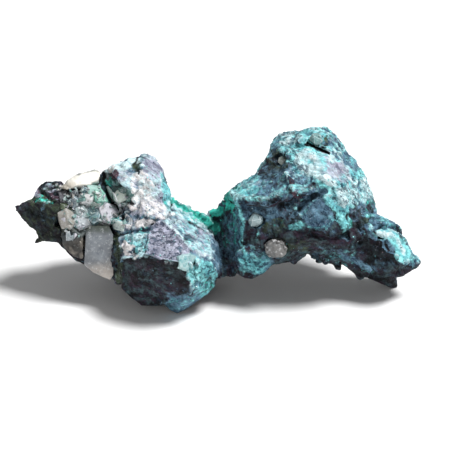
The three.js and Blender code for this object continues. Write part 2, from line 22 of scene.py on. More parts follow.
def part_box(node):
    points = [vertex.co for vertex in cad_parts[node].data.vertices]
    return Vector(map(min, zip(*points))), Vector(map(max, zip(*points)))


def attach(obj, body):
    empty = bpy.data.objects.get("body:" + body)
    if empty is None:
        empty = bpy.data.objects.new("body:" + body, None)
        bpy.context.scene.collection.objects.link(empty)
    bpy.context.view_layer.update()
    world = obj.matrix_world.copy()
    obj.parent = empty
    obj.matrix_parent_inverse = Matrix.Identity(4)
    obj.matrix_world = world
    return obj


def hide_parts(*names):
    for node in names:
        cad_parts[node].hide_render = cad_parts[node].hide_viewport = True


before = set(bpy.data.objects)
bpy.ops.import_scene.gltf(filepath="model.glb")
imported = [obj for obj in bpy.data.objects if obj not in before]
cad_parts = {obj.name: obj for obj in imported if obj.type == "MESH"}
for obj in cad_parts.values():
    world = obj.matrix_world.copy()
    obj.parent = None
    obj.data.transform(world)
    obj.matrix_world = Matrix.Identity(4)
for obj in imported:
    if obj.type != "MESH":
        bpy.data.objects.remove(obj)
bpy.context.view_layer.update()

# A shade has 0 to 255 a channel, a colour is linear, and spots and points are in millimetres.
Shade = tuple[int, int, int]
Color = tuple[float, float, float, float]
Spot = tuple[float, float]
Point = tuple[float, float, float]

LOG = logging.getLogger("copper_on_calcite")
MM = 0.001
BODY = "root"
COPPER_NODE = "copper_mass"
COPPER_SLOT = "copper_crust"
MATRIX_NODE = "calcite_matrix"
CALCITE_SLOT = "calcite"

# The show face: x to the right, y back into the stone, z up the face, in millimetres. The specimen
# leans back by LEAN, and ORIGIN_MM is where the middle of its resting flats then lies.
LEAN = math.radians(25.0)
ORIGIN_MM = np.array([-0.4234, 6.0977, 0.55])
# The specimen is looked at square to its show face, from EYE_MM.
EYE_MM = np.array([0.875, -450.0, 15.05])


def stood(points: np.ndarray) -> np.ndarray:
    """Stands show-face points up in the part's frame.

    Args:
        points: Points of the show face in millimetres, one to a row.

    Returns:
        The same points in metres, in the frame the solids are packed in.
    """
    x, y, z = np.asarray(points, float).T
    back = y * math.cos(LEAN) + z * math.sin(LEAN)
    up = z * math.cos(LEAN) - y * math.sin(LEAN)
    return (np.stack([x, back, up], axis=1) - ORIGIN_MM) * MM


def on_show_face(points: np.ndarray) -> np.ndarray:
    """Turns points of the part's frame back into show-face ones.

    Args:
        points: Points of the part's frame in metres, one to a row.

    Returns:
        The same points in show-face millimetres.
    """
    x, y, z = (np.asarray(points, float) / MM + ORIGIN_MM).T
    back = y * math.cos(LEAN) - z * math.sin(LEAN)
    up = z * math.cos(LEAN) + y * math.sin(LEAN)
    return np.stack([x, back, up], axis=1)


def seen(points_mm: np.ndarray) -> tuple[np.ndarray, np.ndarray]:
    """Finds where show-face points appear, from the eye, on the face's own plane.

    Args:
        points_mm: Show-face points in millimetres, one to a row.

    Returns:
        How far right and how far up each one appears, in millimetres.
    """
    reach = EYE_MM[1] / (EYE_MM[1] - points_mm[:, 1])
    spread = EYE_MM + (points_mm - EYE_MM) * reach[:, None]
    return spread[:, 0], spread[:, 2]


def linear(red: int, green: int, blue: int) -> Color:
    """Turns a colour into the linear values that a shader takes.

    Args:
        red: Its red, of 0 to 255.
        green: Its green.
        blue: Its blue.

    Returns:
        The linear colour, opaque.
    """
    shares = (red / 255.0, green / 255.0, blue / 255.0)
    levels = (one / 12.92 if one <= 0.04045 else ((one + 0.055) / 1.055) ** 2.4 for one in shares)
    return (*levels, 1.0)


def rising(low: float, high: float, values: np.ndarray) -> np.ndarray:
    """Rises smoothly from 0 at low to 1 at high."""
    share = np.clip((values - low) / (high - low), 0.0, 1.0)
    return share * share * (3.0 - 2.0 * share)


# ---- noise


class NoiseField:
    """Smooth and cellular noise over points, the same on every run for one seed."""

    def __init__(self, seed: int) -> None:
        """Draws the field's own order of cells, its slopes and its spots.

        Args:
            seed: Which field it is.
        """
        draw = np.random.default_rng(seed)
        slopes = draw.normal(size=(256, 3))
        self._order = draw.permutation(256)
        self._slopes = slopes / np.linalg.norm(slopes, axis=1)[:, None]
        self._spots = draw.random((256, 3))
        self._levels = draw.random(256)

    def _cell(self, corners: np.ndarray) -> np.ndarray:
        """Gives each cell corner its number from 0 to 255."""
        i, j, k = (corners & 255).T
        return self._order[(self._order[(self._order[i] + j) & 255] + k) & 255]

    def smooth(self, points: np.ndarray, size: float) -> np.ndarray:
        """Rolls gently between about -1 and 1.

        Args:
            points: Where to read the field, one point to a row.
            size: The distance from one swell to the next, in the points' unit.

        Returns:
            One value to a point.
        """
        place = points / size
        base = np.floor(place).astype(int)
        inside = place - base
        fade = inside**3 * (inside * (inside * 6.0 - 15.0) + 10.0)
        total = np.zeros(len(points))
        for corner in np.ndindex(2, 2, 2):
            step = np.array(corner)
            slope = self._slopes[self._cell(base + step)]
            weight = np.where(step == 1, fade, 1.0 - fade).prod(axis=1)
            total += weight * ((inside - step) * slope).sum(axis=1)
        return total * 1.7

    def fractal(self, points: np.ndarray, size: float, octaves: int = 3) -> np.ndarray:
        """Adds finer and fainter copies of the smooth noise.

        Args:
            points: Where to read the field, one point to a row.
            size: The distance between the swells of the coarsest copy.
            octaves: How many copies there are.

        Returns:
            One value to a point, from about -1 to 1.
        """
        total = np.zeros(len(points))
        share = 0.0
        for octave in range(octaves):
            weight = 0.5**octave
            shifted = points + 17.3 * octave
            total += weight * self.smooth(shifted, size * 0.5**octave)
            share += weight
        return total / share

    def cells(self, points: np.ndarray, size: float) -> tuple[np.ndarray, np.ndarray]:
        """Finds the nearest of a scatter of spots.

        Args:
            points: Where to read the field, one point to a row.
            size: The distance between neighbouring spots.

        Returns:
            The distance to the nearest spot, in sizes, and that spot's own level from 0 to 1.
        """
        place = points / size
        base = np.floor(place).astype(int)
        nearest = np.full(len(points), 9.0)
        level = np.zeros(len(points))
        for step in np.ndindex(3, 3, 3):
            cell = base + np.array(step) - 1
            number = self._cell(cell)
            away = np.linalg.norm(cell + self._spots[number] - place, axis=1)
            closer = away < nearest
            nearest = np.where(closer, away, nearest)
            level = np.where(closer, self._levels[number], level)
        return nearest, level


@dataclass(frozen=True)
class Wave:
    """One kind of unevenness.

    Attributes:
        height: Its height in millimetres, or its share of a colour or a crust.
        size: The distance from one swell to the next, in millimetres.
    """

    height: float
    size: float


# ---- finishes


class Cover(Enum):
    """The crusts that grow over the tarnished copper, in the order they lie on each other."""

    OLIVE = "olive"
    RUST = "rust"
    SLATE = "slate"
    EMERALD = "emerald"
    LILAC = "lilac"
    TURQUOISE = "turquoise"
    PALE = "pale"
    WHITE = "white"


@dataclass(frozen=True)
class CrustFinish:
    """How one crust looks, and how much of it grows where nothing is marked.

    Attributes:
        deep: Colour in its hollows.
        bright: Colour on its heights.
        grain_mm: Size of the islands it breaks into where it is thin.
        edge: Softness of those islands' borders.
        ground: Share of the surface that it covers.
        on_right: How much more of it the right lobe has.
        on_wing: How much more of it the left wing has.
        on_heights: How much more of it grows on the heights than in the hollows.
        kept_off: How far the bare and painted-shade places are clear of it, from 0 to 1.
    """

    deep: Color
    bright: Color
    grain_mm: float
    edge: float
    ground: float
    on_right: float = 0.0
    on_wing: float = 0.0
    on_heights: float = 0.0
    kept_off: float = 1.0


CRUSTS: dict[Cover, CrustFinish] = {
    Cover.OLIVE: CrustFinish(
        linear(26, 36, 30), linear(84, 98, 76), 1.6, 0.4, 0.12, on_wing=0.1, kept_off=0.4
    ),
    Cover.RUST: CrustFinish(
        linear(50, 36, 46), linear(104, 78, 90), 1.4, 0.4, 0.1, on_wing=-0.05
    ),
    Cover.SLATE: CrustFinish(
        linear(40, 64, 86), linear(112, 150, 172), 1.2, 0.5, 0.48, 0.2, -0.46, -0.3, 0.62
    ),
    Cover.EMERALD: CrustFinish(
        linear(18, 104, 98), linear(84, 226, 206), 1.0, 0.4, 0.18, -0.08, -0.06, kept_off=0.75
    ),
    Cover.LILAC: CrustFinish(
        linear(100, 104, 124), linear(196, 198, 216), 1.1, 0.42, 0.38, -0.16, -0.26, 0.3
    ),
    Cover.TURQUOISE: CrustFinish(
        linear(70, 144, 158), linear(152, 234, 234), 1.0, 0.42, 0.16, 0.24, -0.12, 0.45
    ),
    Cover.PALE: CrustFinish(
        linear(150, 190, 198), linear(220, 240, 242), 1.05, 0.6, 0.3, -0.06, -0.26, 0.6
    ),
    Cover.WHITE: CrustFinish(
        linear(204, 200, 202), linear(248, 245, 243), 1.05, 0.4, 0.1, -0.08, on_heights=0.3
    ),
}


@dataclass(frozen=True)
class Patch:
    """A stretch of the show face where a crust is thick.

    Attributes:
        x: Middle, to the right, in millimetres.
        z: Middle, up the face.
        half_x: Half width before the turn.
        half_z: Half height before the turn.
        amount: Share of the surface that the crust covers there.
        turn: Turn in degrees, anticlockwise.
    """

    x: float
    z: float
    half_x: float
    half_z: float
    amount: float
    turn: float = 0.0

    def weight(self, across: np.ndarray, up: np.ndarray) -> np.ndarray:
        """Gives the amount at each place of the show face.

        Args:
            across: How far right the places are.
            up: How far up they are.

        Returns:
            One amount to a place.
        """
        turn = math.radians(self.turn)
        right = across - self.x
        rise = up - self.z
        along = (right * math.cos(turn) + rise * math.sin(turn)) / self.half_x
        over = (rise * math.cos(turn) - right * math.sin(turn)) / self.half_z
        return self.amount * (1.0 - rising(0.7, 1.3, np.hypot(along, over)))


@dataclass(frozen=True)
class Stroke:
    """A ridge, a groove or a streak of crust along a line of the show face.

    Attributes:
        path: The line's points, each as far right and far up as it appears, in millimetres.
        width: Distance at which it fades out.
        amount: Its height in millimetres as relief, or the share it covers as crust.
    """

    path: tuple[Spot, ...]
    width: float
    amount: float

    def distance(self, across: np.ndarray, up: np.ndarray) -> np.ndarray:
        """Gives the distance to the line at each place of the show face.

        Args:
            across: How far right the places are.
            up: How far up they are.

        Returns:
            One distance to a place, in millimetres.
        """
        nearest = np.full(len(across), 99.0)
        for (x0, z0), (x1, z1) in zip(self.path, self.path[1:]):
            run = np.array([x1 - x0, z1 - z0])
            share = ((across - x0) * run[0] + (up - z0) * run[1]) / (run @ run)
            share = np.clip(share, 0.0, 1.0)
            away = np.hypot(across - x0 - share * run[0], up - z0 - share * run[1])
            nearest = np.minimum(nearest, away)
        return nearest

    def weight(self, across: np.ndarray, up: np.ndarray) -> np.ndarray:
        """Gives the amount at each place of the show face."""
        near = self.distance(across, up) / self.width
        return self.amount * (1.0 - rising(0.0, 1.0, near))


@dataclass(frozen=True)
class Plate:
    """A flat crystal face with its own crust and a crisp border.

    Attributes:
        outline: Its corners on the show face, in millimetres.
        soft: Half width of its border.
        amount: Share of the surface that the crust covers there.
    """

    outline: tuple[Spot, ...]
    soft: float
    amount: float

    def weight(self, across: np.ndarray, up: np.ndarray) -> np.ndarray:
        """Gives the amount at each place of the show face.

        Args:
            across: How far right the places are.
            up: How far up they are.

        Returns:
            One amount to a place.
        """
        border = Stroke((*self.outline, self.outline[0]), 1.0, 1.0)
        away = border.distance(across, up)
        inside = np.zeros(len(across), bool)
        for (x0, z0), (x1, z1) in zip(self.outline, (*self.outline[1:], self.outline[0])):
            spans = (z0 > up) != (z1 > up)
            at = x0 + (up - z0) / ((z1 - z0) or 1e-9) * (x1 - x0)
            inside ^= spans & (across < at)
        depth = np.where(inside, away, -away)
        return self.amount * rising(-self.soft, self.soft, depth)


Mark = Patch | Stroke | Plate


def patches(*rows: tuple[float, ...]) -> tuple[Patch, ...]:
    """Makes a patch of each row: its middle, its half sizes, its amount and its turn, if any."""
    return tuple(Patch(*row) for row in rows)


def strokes(*rows: tuple[tuple[Spot, ...], float, float]) -> tuple[Stroke, ...]:
    """Makes a stroke of each row: its path, its width and its amount."""
    return tuple(Stroke(*row) for row in rows)


def strongest(marks: Iterable[Mark], across: np.ndarray, up: np.ndarray) -> np.ndarray:
    """Gives the largest amount of any of some marks at each place of the show face.

    Args:
        marks: The marks.
        across: How far right the places are.
        up: How far up they are.

    Returns:
        One amount to a place, at least 0.
    """
    amount = np.zeros(len(across))
    for mark in marks:
        amount = np.maximum(amount, mark.weight(across, up))
    return amount


# Crystal faces with a crust of their own.
LILAC_FACE = (
    (-12.5, 14.7), (-10.5, 15.9), (-8.2, 14.4), (-6.6, 12.8), (-5.3, 10.8),
    (-4.8, 8.9), (-7.4, 8.3), (-13.2, 9.7), (-12.7, 12.2),
)
DARK_FACE = (
    (-16.9, 9.0), (-12.4, 9.2), (-7.7, 8.1), (-5.7, 5.8), (-5.2, 3.4), (-8.4, 2.4),
    (-10.2, 1.0), (-13.0, 0.8), (-15.9, 2.8), (-17.2, 6.1),
)
OVAL_FACE = (
    (14.4, 18.8), (16.6, 19.7), (19.0, 19.0), (19.8, 17.0), (18.8, 15.2), (16.4, 14.8),
    (14.6, 15.8), (13.9, 17.4),
)
GREEN_FACE = (
    (-32.9, 19.8), (-32.0, 20.1), (-30.8, 20.0), (-29.8, 19.4), (-28.9, 18.9), (-29.1, 18.5),
    (-30.8, 18.5), (-32.6, 19.0),
)
HOLLOW_FACE = (
    (24.6, 12.0), (26.6, 12.8), (28.0, 12.3), (29.4, 12.2), (30.4, 11.0), (30.2, 9.5),
    (31.0, 8.5), (29.6, 7.9), (27.1, 8.5), (25.2, 9.2), (24.2, 10.6),
)
RIM_FACE = (
    (27.0, 13.3), (28.7, 14.1), (30.5, 13.8), (32.0, 12.6), (33.3, 10.5), (33.1, 8.8),
    (31.5, 8.6), (30.4, 9.6), (30.5, 11.1), (29.4, 12.4), (27.7, 12.5),
)

# Cracks, edges and shaded lines of the show face that carry more than one mark.
CREVICE = ((-20.5, 24.2), (-20.7, 22.6), (-19.5, 20.8), (-18.7, 19.4), (-18.2, 17.6))
SLIT_LINE = ((15.0, 29.25), (17.0, 28.35), (18.9, 27.4))
BROW_SHADE = ((3.8, 18.7), (7.0, 18.5), (10.0, 19.2), (12.0, 18.0))
BAND_SHADE = ((18.4, 21.0), (16.0, 19.8), (14.6, 18.6), (13.0, 16.8))
CREVICE_FOOT = ((-17.9, 18.1), (-17.2, 16.9), (-17.1, 16.0))
NODULE_SEAM = ((-29.1, 20.6), (-27.6, 20.6))
WING_CRACK = ((-31.6, 21.0), (-30.8, 20.6), (-30.2, 19.9), (-29.2, 19.1))
CREST_NOTCH = ((9.2, 25.8), (10.2, 25.0), (11.6, 25.4))
CLUSTER_LEDGE = ((-18.2, 13.2), (-15.6, 13.9), (-12.6, 14.2))
LOBE_EDGE = ((2.3, 20.4), (3.4, 18.0), (4.1, 15.6), (3.8, 12.2), (4.6, 9.6))
BELLY_RIB = ((6.4, 15.0), (6.6, 12.8), (6.2, 10.8))

# Where each crust lies on the show face.
PATCHES: dict[Cover, tuple[Mark, ...]] = {
    Cover.TURQUOISE: patches(
        (5.2, 20.9, 2.0, 1.0, 0.85, 8), (10.4, 21.6, 1.4, 1.0, 0.6, 20), (7.4, 22.8, 3.0, 1.2, 0.3, 20),
        (11.8, 29.4, 2.8, 2.4, 0.55), (16.8, 31.0, 3.2, 1.2, 0.75, -4), (15.0, 27.0, 3.8, 3.2, 0.72, -35),
        (18.6, 22.4, 3.4, 1.1, 0.7, -42), (21.2, 18.8, 1.8, 2.4, 0.7, 10),
        (23.0, 21.6, 3.4, 5.6, 0.66, -70), (21.8, 16.4, 1.4, 2.6, 0.6, 10),
        (13.4, 14.9, 1.5, 0.9, 0.55, 10), (6.0, 8.6, 3.0, 2.6, 0.58), (20.6, 9.6, 3.8, 1.9, 0.3, -14),
        (-3.2, 6.4, 2.8, 2.6, 0.62, -50), (-2.8, 4.2, 2.2, 2.0, 0.5, 30), (-13.9, 11.6, 1.7, 2.0, 0.7),
        (-15.4, 12.4, 1.6, 1.2, 0.5), (-6.4, 1.5, 3.4, 1.4, 0.3, 6), (-9.4, 20.6, 0.7, 3.6, 0.7, 14),
        (-6.0, 16.6, 3.4, 1.2, 0.45, -42), (-4.6, 13.4, 4.6, 2.4, 0.45, -50),
        (-17.2, 26.0, 2.2, 0.7, 0.3, 16), (-12.6, 13.9, 1.6, 0.6, 0.7), (-17.8, 15.4, 1.2, 1.0, 0.5),
    ) + strokes(
        (((13.4, 26.1), (15.8, 24.4), (18.7, 22.9), (20.7, 21.2), (21.8, 18.4)), 1.2, 0.7),
        (((14.6, 14.8), (16.2, 14.4), (18.2, 14.6), (19.6, 16.0), (20.4, 18.0)), 1.0, 0.42),
        (LOBE_EDGE, 0.9, 0.5), (BELLY_RIB, 0.9, 0.5), (((21.6, 9.4), (24.2, 8.2), (26.4, 7.2)), 1.0, 0.25),
    ) + (
        Plate(RIM_FACE, 0.6, 0.9),
    ),
    Cover.PALE: patches(
        (-17.0, 25.7, 3.6, 1.1, 0.8, 18), (-13.4, 21.6, 3.6, 3.2, 0.52), (-8.4, 17.0, 2.8, 1.4, 0.5, -52),
        (-4.6, 13.4, 3.4, 1.8, 0.34, -52), (-4.8, 9.2, 1.8, 2.2, 0.3, -40), (-14.0, 11.8, 1.4, 1.8, 0.38),
        (-17.2, 21.0, 2.2, 2.4, 0.45), (-4.0, 5.2, 2.4, 1.6, 0.3), (15.7, 25.9, 3.2, 2.2, 0.55, -38),
        (20.8, 24.2, 2.6, 1.6, 0.5, -40), (18.2, 23.4, 3.0, 0.9, 0.5, -40), (12.2, 30.2, 2.6, 1.4, 0.45),
        (17.8, 31.4, 2.6, 0.6, 0.4, -6), (23.8, 20.8, 2.2, 5.0, 0.5, -68),
        (20.4, 26.4, 2.4, 1.4, 0.45, -40), (10.6, 22.2, 1.0, 0.8, 0.3), (5.0, 21.2, 1.2, 0.6, 0.5),
        (-29.8, 21.7, 1.6, 0.5, 0.4, 4), (-30.8, 20.0, 1.4, 0.6, 0.3, -30), (-30.8, 18.9, 0.3, 0.3, 0.5),
    ) + strokes(
        (((27.6, 13.3), (29.6, 13.2), (31.2, 12.0), (31.8, 10.0)), 0.8, 0.9),
        (((-7.6, 9.8), (-6.4, 10.3), (-5.0, 10.0)), 0.3, 0.6),
        # This stroke and the next are painted highlights, along the ridge of the lilac face's lower edge
        # and the olive band's left edge.
        (((-17.0, 9.3), (-15.4, 9.5), (-13.6, 9.9)), 0.35, 0.6),
        (((-18.7, 12.8), (-18.9, 10.6), (-18.8, 8.4)), 0.3, 0.45),
    ) + (
        Plate(GREEN_FACE, 0.4, 0.3),
    ),
    Cover.WHITE: patches(
        (-13.6, 21.6, 2.2, 3.6, 0.52, 12), (-15.2, 19.6, 1.5, 2.2, 0.5, 10),
        (-11.0, 17.7, 2.6, 1.4, 0.5, -28), (-12.8, 18.6, 2.6, 2.0, 0.44, -28),
        (-13.2, 15.3, 1.9, 0.9, 0.62, 4), (-16.4, 15.6, 1.3, 1.1, 0.5), (-16.6, 11.5, 0.7, 0.9, 1.0, 10),
        (-15.8, 11.3, 0.5, 0.5, 0.9), (-16.4, 10.3, 0.7, 0.5, 0.7), (-15.0, 9.7, 1.2, 0.5, 0.45, -30),
        (-19.4, 24.8, 1.6, 0.7, 0.5, 6), (-16.0, 22.7, 2.2, 0.9, 0.3, -42),
        (-9.0, 17.4, 1.2, 0.7, 0.4, -40), (20.8, 24.6, 2.0, 1.3, 0.5, -42),
        (22.4, 22.6, 1.0, 1.2, 0.35, -40), (16.4, 26.8, 1.1, 0.8, 0.35), (-28.6, 21.7, 1.5, 0.6, 0.35, 4),
        (-4.6, 13.0, 2.6, 1.8, 0.2, -50),
    ),
    Cover.LILAC: patches(
        (-11.8, 25.0, 2.1, 2.6, 0.8, -30), (-10.6, 21.4, 1.2, 2.2, 0.6, -10),
        (-16.2, 22.9, 2.4, 1.4, 0.6, -42), (-14.8, 18.4, 2.4, 1.8, 0.7), (-11.6, 18.6, 2.6, 2.0, 0.6, -20),
        (-12.9, 19.4, 1.5, 1.6, 0.7, -20), (-7.4, 16.0, 2.8, 1.8, 0.5, -50),
        (-4.0, 12.4, 3.6, 2.6, 0.6, -50), (17.8, 26.0, 2.6, 1.7, 0.75, -38),
        (20.8, 24.2, 2.8, 2.0, 0.85, -40), (12.0, 28.8, 2.4, 2.0, 0.45), (23.8, 18.8, 2.2, 2.4, 0.3),
        (24.6, 22.0, 1.6, 2.6, 0.25, -70), (28.2, 10.7, 1.9, 1.1, 1.0, -10),
        (27.2, 11.2, 1.6, 1.0, 1.4, -10), (-32.0, 20.6, 0.7, 0.9, 0.6, 30), (-30.6, 21.5, 2.4, 0.9, 0.45),
        (-28.4, 20.0, 1.4, 0.6, 0.5), (12.6, 25.2, 1.4, 1.4, 0.35), (7.6, 23.4, 2.4, 1.0, 0.3),
    ) + (
        Plate(LILAC_FACE, 0.3, 0.9),
    ),
    Cover.SLATE: patches(
        (17.0, 16.9, 3.1, 2.5, 1.0, -20), (16.8, 20.2, 2.4, 1.2, 0.85, 28), (-0.8, 10.4, 1.5, 4.0, 0.9, 4),
        (-2.6, 9.8, 2.6, 3.0, 1.0), (-4.0, 4.2, 1.6, 1.6, 0.7), (9.0, 21.6, 3.4, 1.8, 0.9, 16),
        (6.4, 17.2, 4.4, 1.8, 0.85), (12.6, 17.6, 2.2, 2.4, 0.7), (9.8, 24.4, 2.6, 1.8, 0.7, 30),
        (2.2, 12.8, 2.4, 4.6, 0.6), (14.2, 22.6, 2.2, 1.2, 0.6, -20), (6.2, 8.6, 3.2, 2.4, 0.8),
        # The wing spots at (-31.0, 17.9), (-28.9, 15.9) and (-27.8, 14.2) are partly bluish smudges, partly
        # painted glints on the black copper.
        (-6.6, 2.0, 4.4, 2.6, 0.9, 12), (20.6, 11.4, 3.8, 1.8, 0.4), (-31.0, 17.9, 0.5, 0.6, 1.0),
        (-28.9, 15.9, 0.9, 0.9, 0.6), (-27.8, 14.2, 0.6, 0.8, 0.6), (-30.6, 16.4, 2.0, 1.0, 0.4, -40),
        (23.0, 21.0, 3.0, 5.6, 0.3, -68), (11.8, 27.2, 2.8, 2.8, 0.55), (-10.8, 24.6, 1.6, 2.4, 0.55),
        (-5.5, 12.5, 0.9, 0.9, 0.8), (-4.8, 12.0, 5.4, 3.2, 0.45, -50), (34.2, 8.8, 1.2, 1.2, 0.5),
        (29.6, 7.6, 1.6, 1.0, 0.5, -14), (28.8, 14.9, 2.6, 1.0, 0.9, -12),
    ) + strokes(
        (((21.6, 9.6), (24.2, 8.4), (26.6, 7.3)), 1.1, 0.8),
    ) + (
        Plate(DARK_FACE, 0.3, 0.3), Plate(LILAC_FACE, 0.3, 0.9), Plate(OVAL_FACE, 0.25, 1.0),
    ),
    Cover.EMERALD: patches(
        (-0.6, 17.4, 1.2, 1.1, 1.0), (1.2, 19.4, 1.1, 2.4, 0.85, 20), (2.6, 21.4, 1.4, 0.9, 0.6, 30),
        (1.4, 14.8, 2.0, 4.6, 0.42), (4.2, 12.4, 0.7, 4.6, 0.22, 4), (-31.2, 19.9, 1.5, 0.7, 0.5, -30),
        (-19.4, 20.6, 0.9, 2.8, 0.6, 16), (-16.8, 20.6, 2.2, 2.0, 0.5), (-18.8, 22.4, 1.4, 1.2, 0.4),
        (-17.8, 16.6, 1.2, 1.4, 0.6), (-14.6, 25.8, 0.7, 0.9, 0.4), (-6.6, 1.5, 3.6, 1.6, 0.2, 6),
        (-2.4, 3.8, 1.6, 1.8, 0.4, 40), (9.8, 15.2, 2.4, 1.4, 0.26), (12.8, 13.6, 2.0, 0.8, 0.26),
        (16.6, 30.0, 1.6, 1.0, 0.5), (23.2, 15.4, 1.4, 1.0, 0.45, -40), (26.2, 18.2, 0.9, 1.8, 0.45),
        (29.8, 14.4, 1.8, 0.8, 0.4), (-14.0, 14.1, 2.6, 0.5, 0.42, 6),
    ) + strokes(
        (((-8.3, 19.2), (-5.4, 17.6), (-3.0, 16.0), (-0.8, 14.4)), 1.9, 1.0),
        (((21.8, 9.0), (24.0, 7.9), (26.0, 7.0)), 0.8, 0.3),
    ) + (
        Plate(GREEN_FACE, 0.3, 0.46),
    ),
    Cover.OLIVE: patches(
        (-30.6, 16.4, 5.0, 4.6, 0.55, -30), (-31.2, 21.2, 1.8, 0.9, 0.4), (-31.0, 19.4, 2.0, 1.0, 0.6, -12),
        (9.0, 14.8, 2.8, 1.6, 0.6), (10.4, 26.6, 2.2, 2.2, 0.7), (9.6, 27.8, 1.2, 1.4, 0.9),
        (26.4, 15.8, 1.6, 1.2, 0.5), (28.6, 15.2, 1.6, 0.8, 0.4), (-18.6, 18.6, 1.2, 2.2, 0.5, 14),
        (-14.3, 25.6, 1.1, 1.3, 0.8), (-20.0, 23.0, 1.0, 1.2, 0.8), (17.4, 29.4, 1.8, 1.0, 0.5),
        (18.6, 29.6, 0.7, 1.0, 0.9, 10), (9.8, 27.6, 2.4, 1.0, 0.45, 60), (13.0, 11.6, 4.6, 1.4, 0.5, 4),
    ) + strokes(
        (((-18.2, 13.4), (-18.0, 10.0), (-17.6, 5.6)), 1.3, 1.0),
        (((15.5, 30.8), (15.6, 29.6), (16.6, 28.9)), 0.4, 0.8),
    ),
    Cover.RUST: patches(
        (-32.0, 20.9, 0.6, 0.6, 0.7), (12.4, 22.8, 0.6, 1.0, 1.0, 12), (13.4, 19.6, 1.0, 1.9, 0.7, 8),
        (27.6, 10.8, 2.6, 1.4, 0.8, -10), (-18.3, 23.7, 0.8, 0.7, 0.9), (-17.2, 23.5, 1.4, 0.5, 0.6),
        (-11.6, 24.0, 0.6, 0.6, 0.6), (-16.6, 23.0, 2.4, 1.2, 0.5, -42), (-12.6, 20.6, 2.6, 3.2, 0.24, 16),
        (-6.4, 5.2, 1.8, 1.8, 0.35, 40), (27.0, 10.4, 2.4, 1.6, 0.5), (10.2, 28.6, 0.9, 0.6, 0.4),
        (-8.4, 13.0, 2.4, 1.6, 0.3), (10.6, 25.6, 1.6, 1.2, 0.5), (-16.4, 11.0, 0.5, 0.5, 0.5),
    ) + strokes(
        (((-30.1, 20.4), (-28.6, 20.1), (-27.6, 19.2)), 0.7, 0.9),
        (((13.8, 19.4), (15.6, 20.0), (18.2, 21.0)), 0.7, 0.8),
        # This plum stroke along the top of the dark face is painted shadow under the lilac face's edge.
        (((-13.6, 9.0), (-10.4, 8.5), (-7.6, 7.8), (-6.2, 6.0)), 0.8, 1.0),
    ),
}

# Where the dark tarnish shows through the crusts: partly bare tarnish where no crust grew, partly painted
# shade on overhangs, in crevices and grooves and on the down-turned crystal faces.
BARE_AND_SHADED: tuple[Mark, ...] = patches(
    (-6.6, 3.8, 1.3, 1.5, 0.7, 30), (-31.8, 15.8, 3.6, 2.8, 0.84, -24), (-28.2, 15.6, 2.2, 3.6, 0.85),
    (17.4, 12.4, 6.0, 1.4, 0.95, -4), (11.4, 13.2, 3.4, 1.1, 0.7, -14), (30.8, 7.0, 2.2, 0.8, 0.7, -14),
    (25.2, 13.2, 1.6, 1.2, 0.6, -30), (7.8, 18.0, 4.8, 0.9, 0.6, 4), (12.2, 17.4, 1.4, 2.2, 0.6, 12),
    (8.4, 14.4, 3.0, 1.2, 0.4), (0.9, 12.6, 1.6, 6.0, 0.45, 4), (6.4, 13.4, 2.4, 4.6, 0.5),
    (9.8, 25.9, 1.5, 1.7, 0.8, 20), (9.8, 22.6, 1.8, 1.4, 0.5, 20), (8.4, 24.4, 1.8, 1.2, 0.7, 40),
    (24.0, 14.8, 1.0, 2.4, 0.8, -32), (26.4, 18.0, 0.6, 0.8, 0.8), (-18.6, 11.2, 0.5, 3.4, 0.5, 6),
    (-5.5, 12.6, 1.0, 0.8, 0.6), (-7.0, 10.8, 0.5, 0.7, 0.5),
) + strokes(
    # This first stroke, under the lilac face's lower edge, is painted shadow.
    (((-13.2, 9.4), (-10.4, 9.0), (-7.4, 8.2), (-6.2, 6.8)), 0.35, 0.85),
    (((-31.6, 21.2), (-30.6, 20.9), (-29.8, 20.2), (-28.9, 19.3)), 0.3, 1.0), (NODULE_SEAM, 0.35, 0.9),
    (((19.8, 8.3), (24.4, 6.7), (28.6, 5.7), (31.0, 4.6)), 0.8, 0.96),
    (((27.2, 14.3), (28.4, 14.9), (30.2, 14.6), (31.6, 13.6)), 0.35, 0.8),
    (((29.6, 16.0), (31.0, 15.0), (31.6, 13.8)), 0.4, 0.6),
    (((23.2, 16.6), (24.4, 15.2), (25.6, 13.8), (26.0, 12.6)), 0.7, 0.9), (CREVICE, 0.8, 1.0),
    (CREVICE_FOOT, 0.7, 1.0), (((-17.6, 19.2), (-15.3, 19.1)), 0.4, 0.9), (SLIT_LINE, 0.45, 1.0),
    (((-5.4, 15.5), (-3.2, 14.2), (-1.4, 13.0)), 0.4, 0.45), (BAND_SHADE, 0.7, 0.8), (BROW_SHADE, 0.9, 0.8),
    (((-13.1, 9.8), (-12.7, 13.6), (-11.6, 15.2)), 0.4, 0.7), (CLUSTER_LEDGE, 0.35, 0.8),
    (((-15.6, 17.4), (-13.2, 16.4), (-11.0, 16.0), (-9.2, 15.9)), 0.3, 0.3),
    (((-14.4, 27.0), (-14.9, 25.4), (-14.2, 24.2)), 0.5, 0.8), (CREST_NOTCH, 0.5, 1.0),
) + (Plate(DARK_FACE, 0.25, 0.97), Plate(HOLLOW_FACE, 0.35, 0.78))

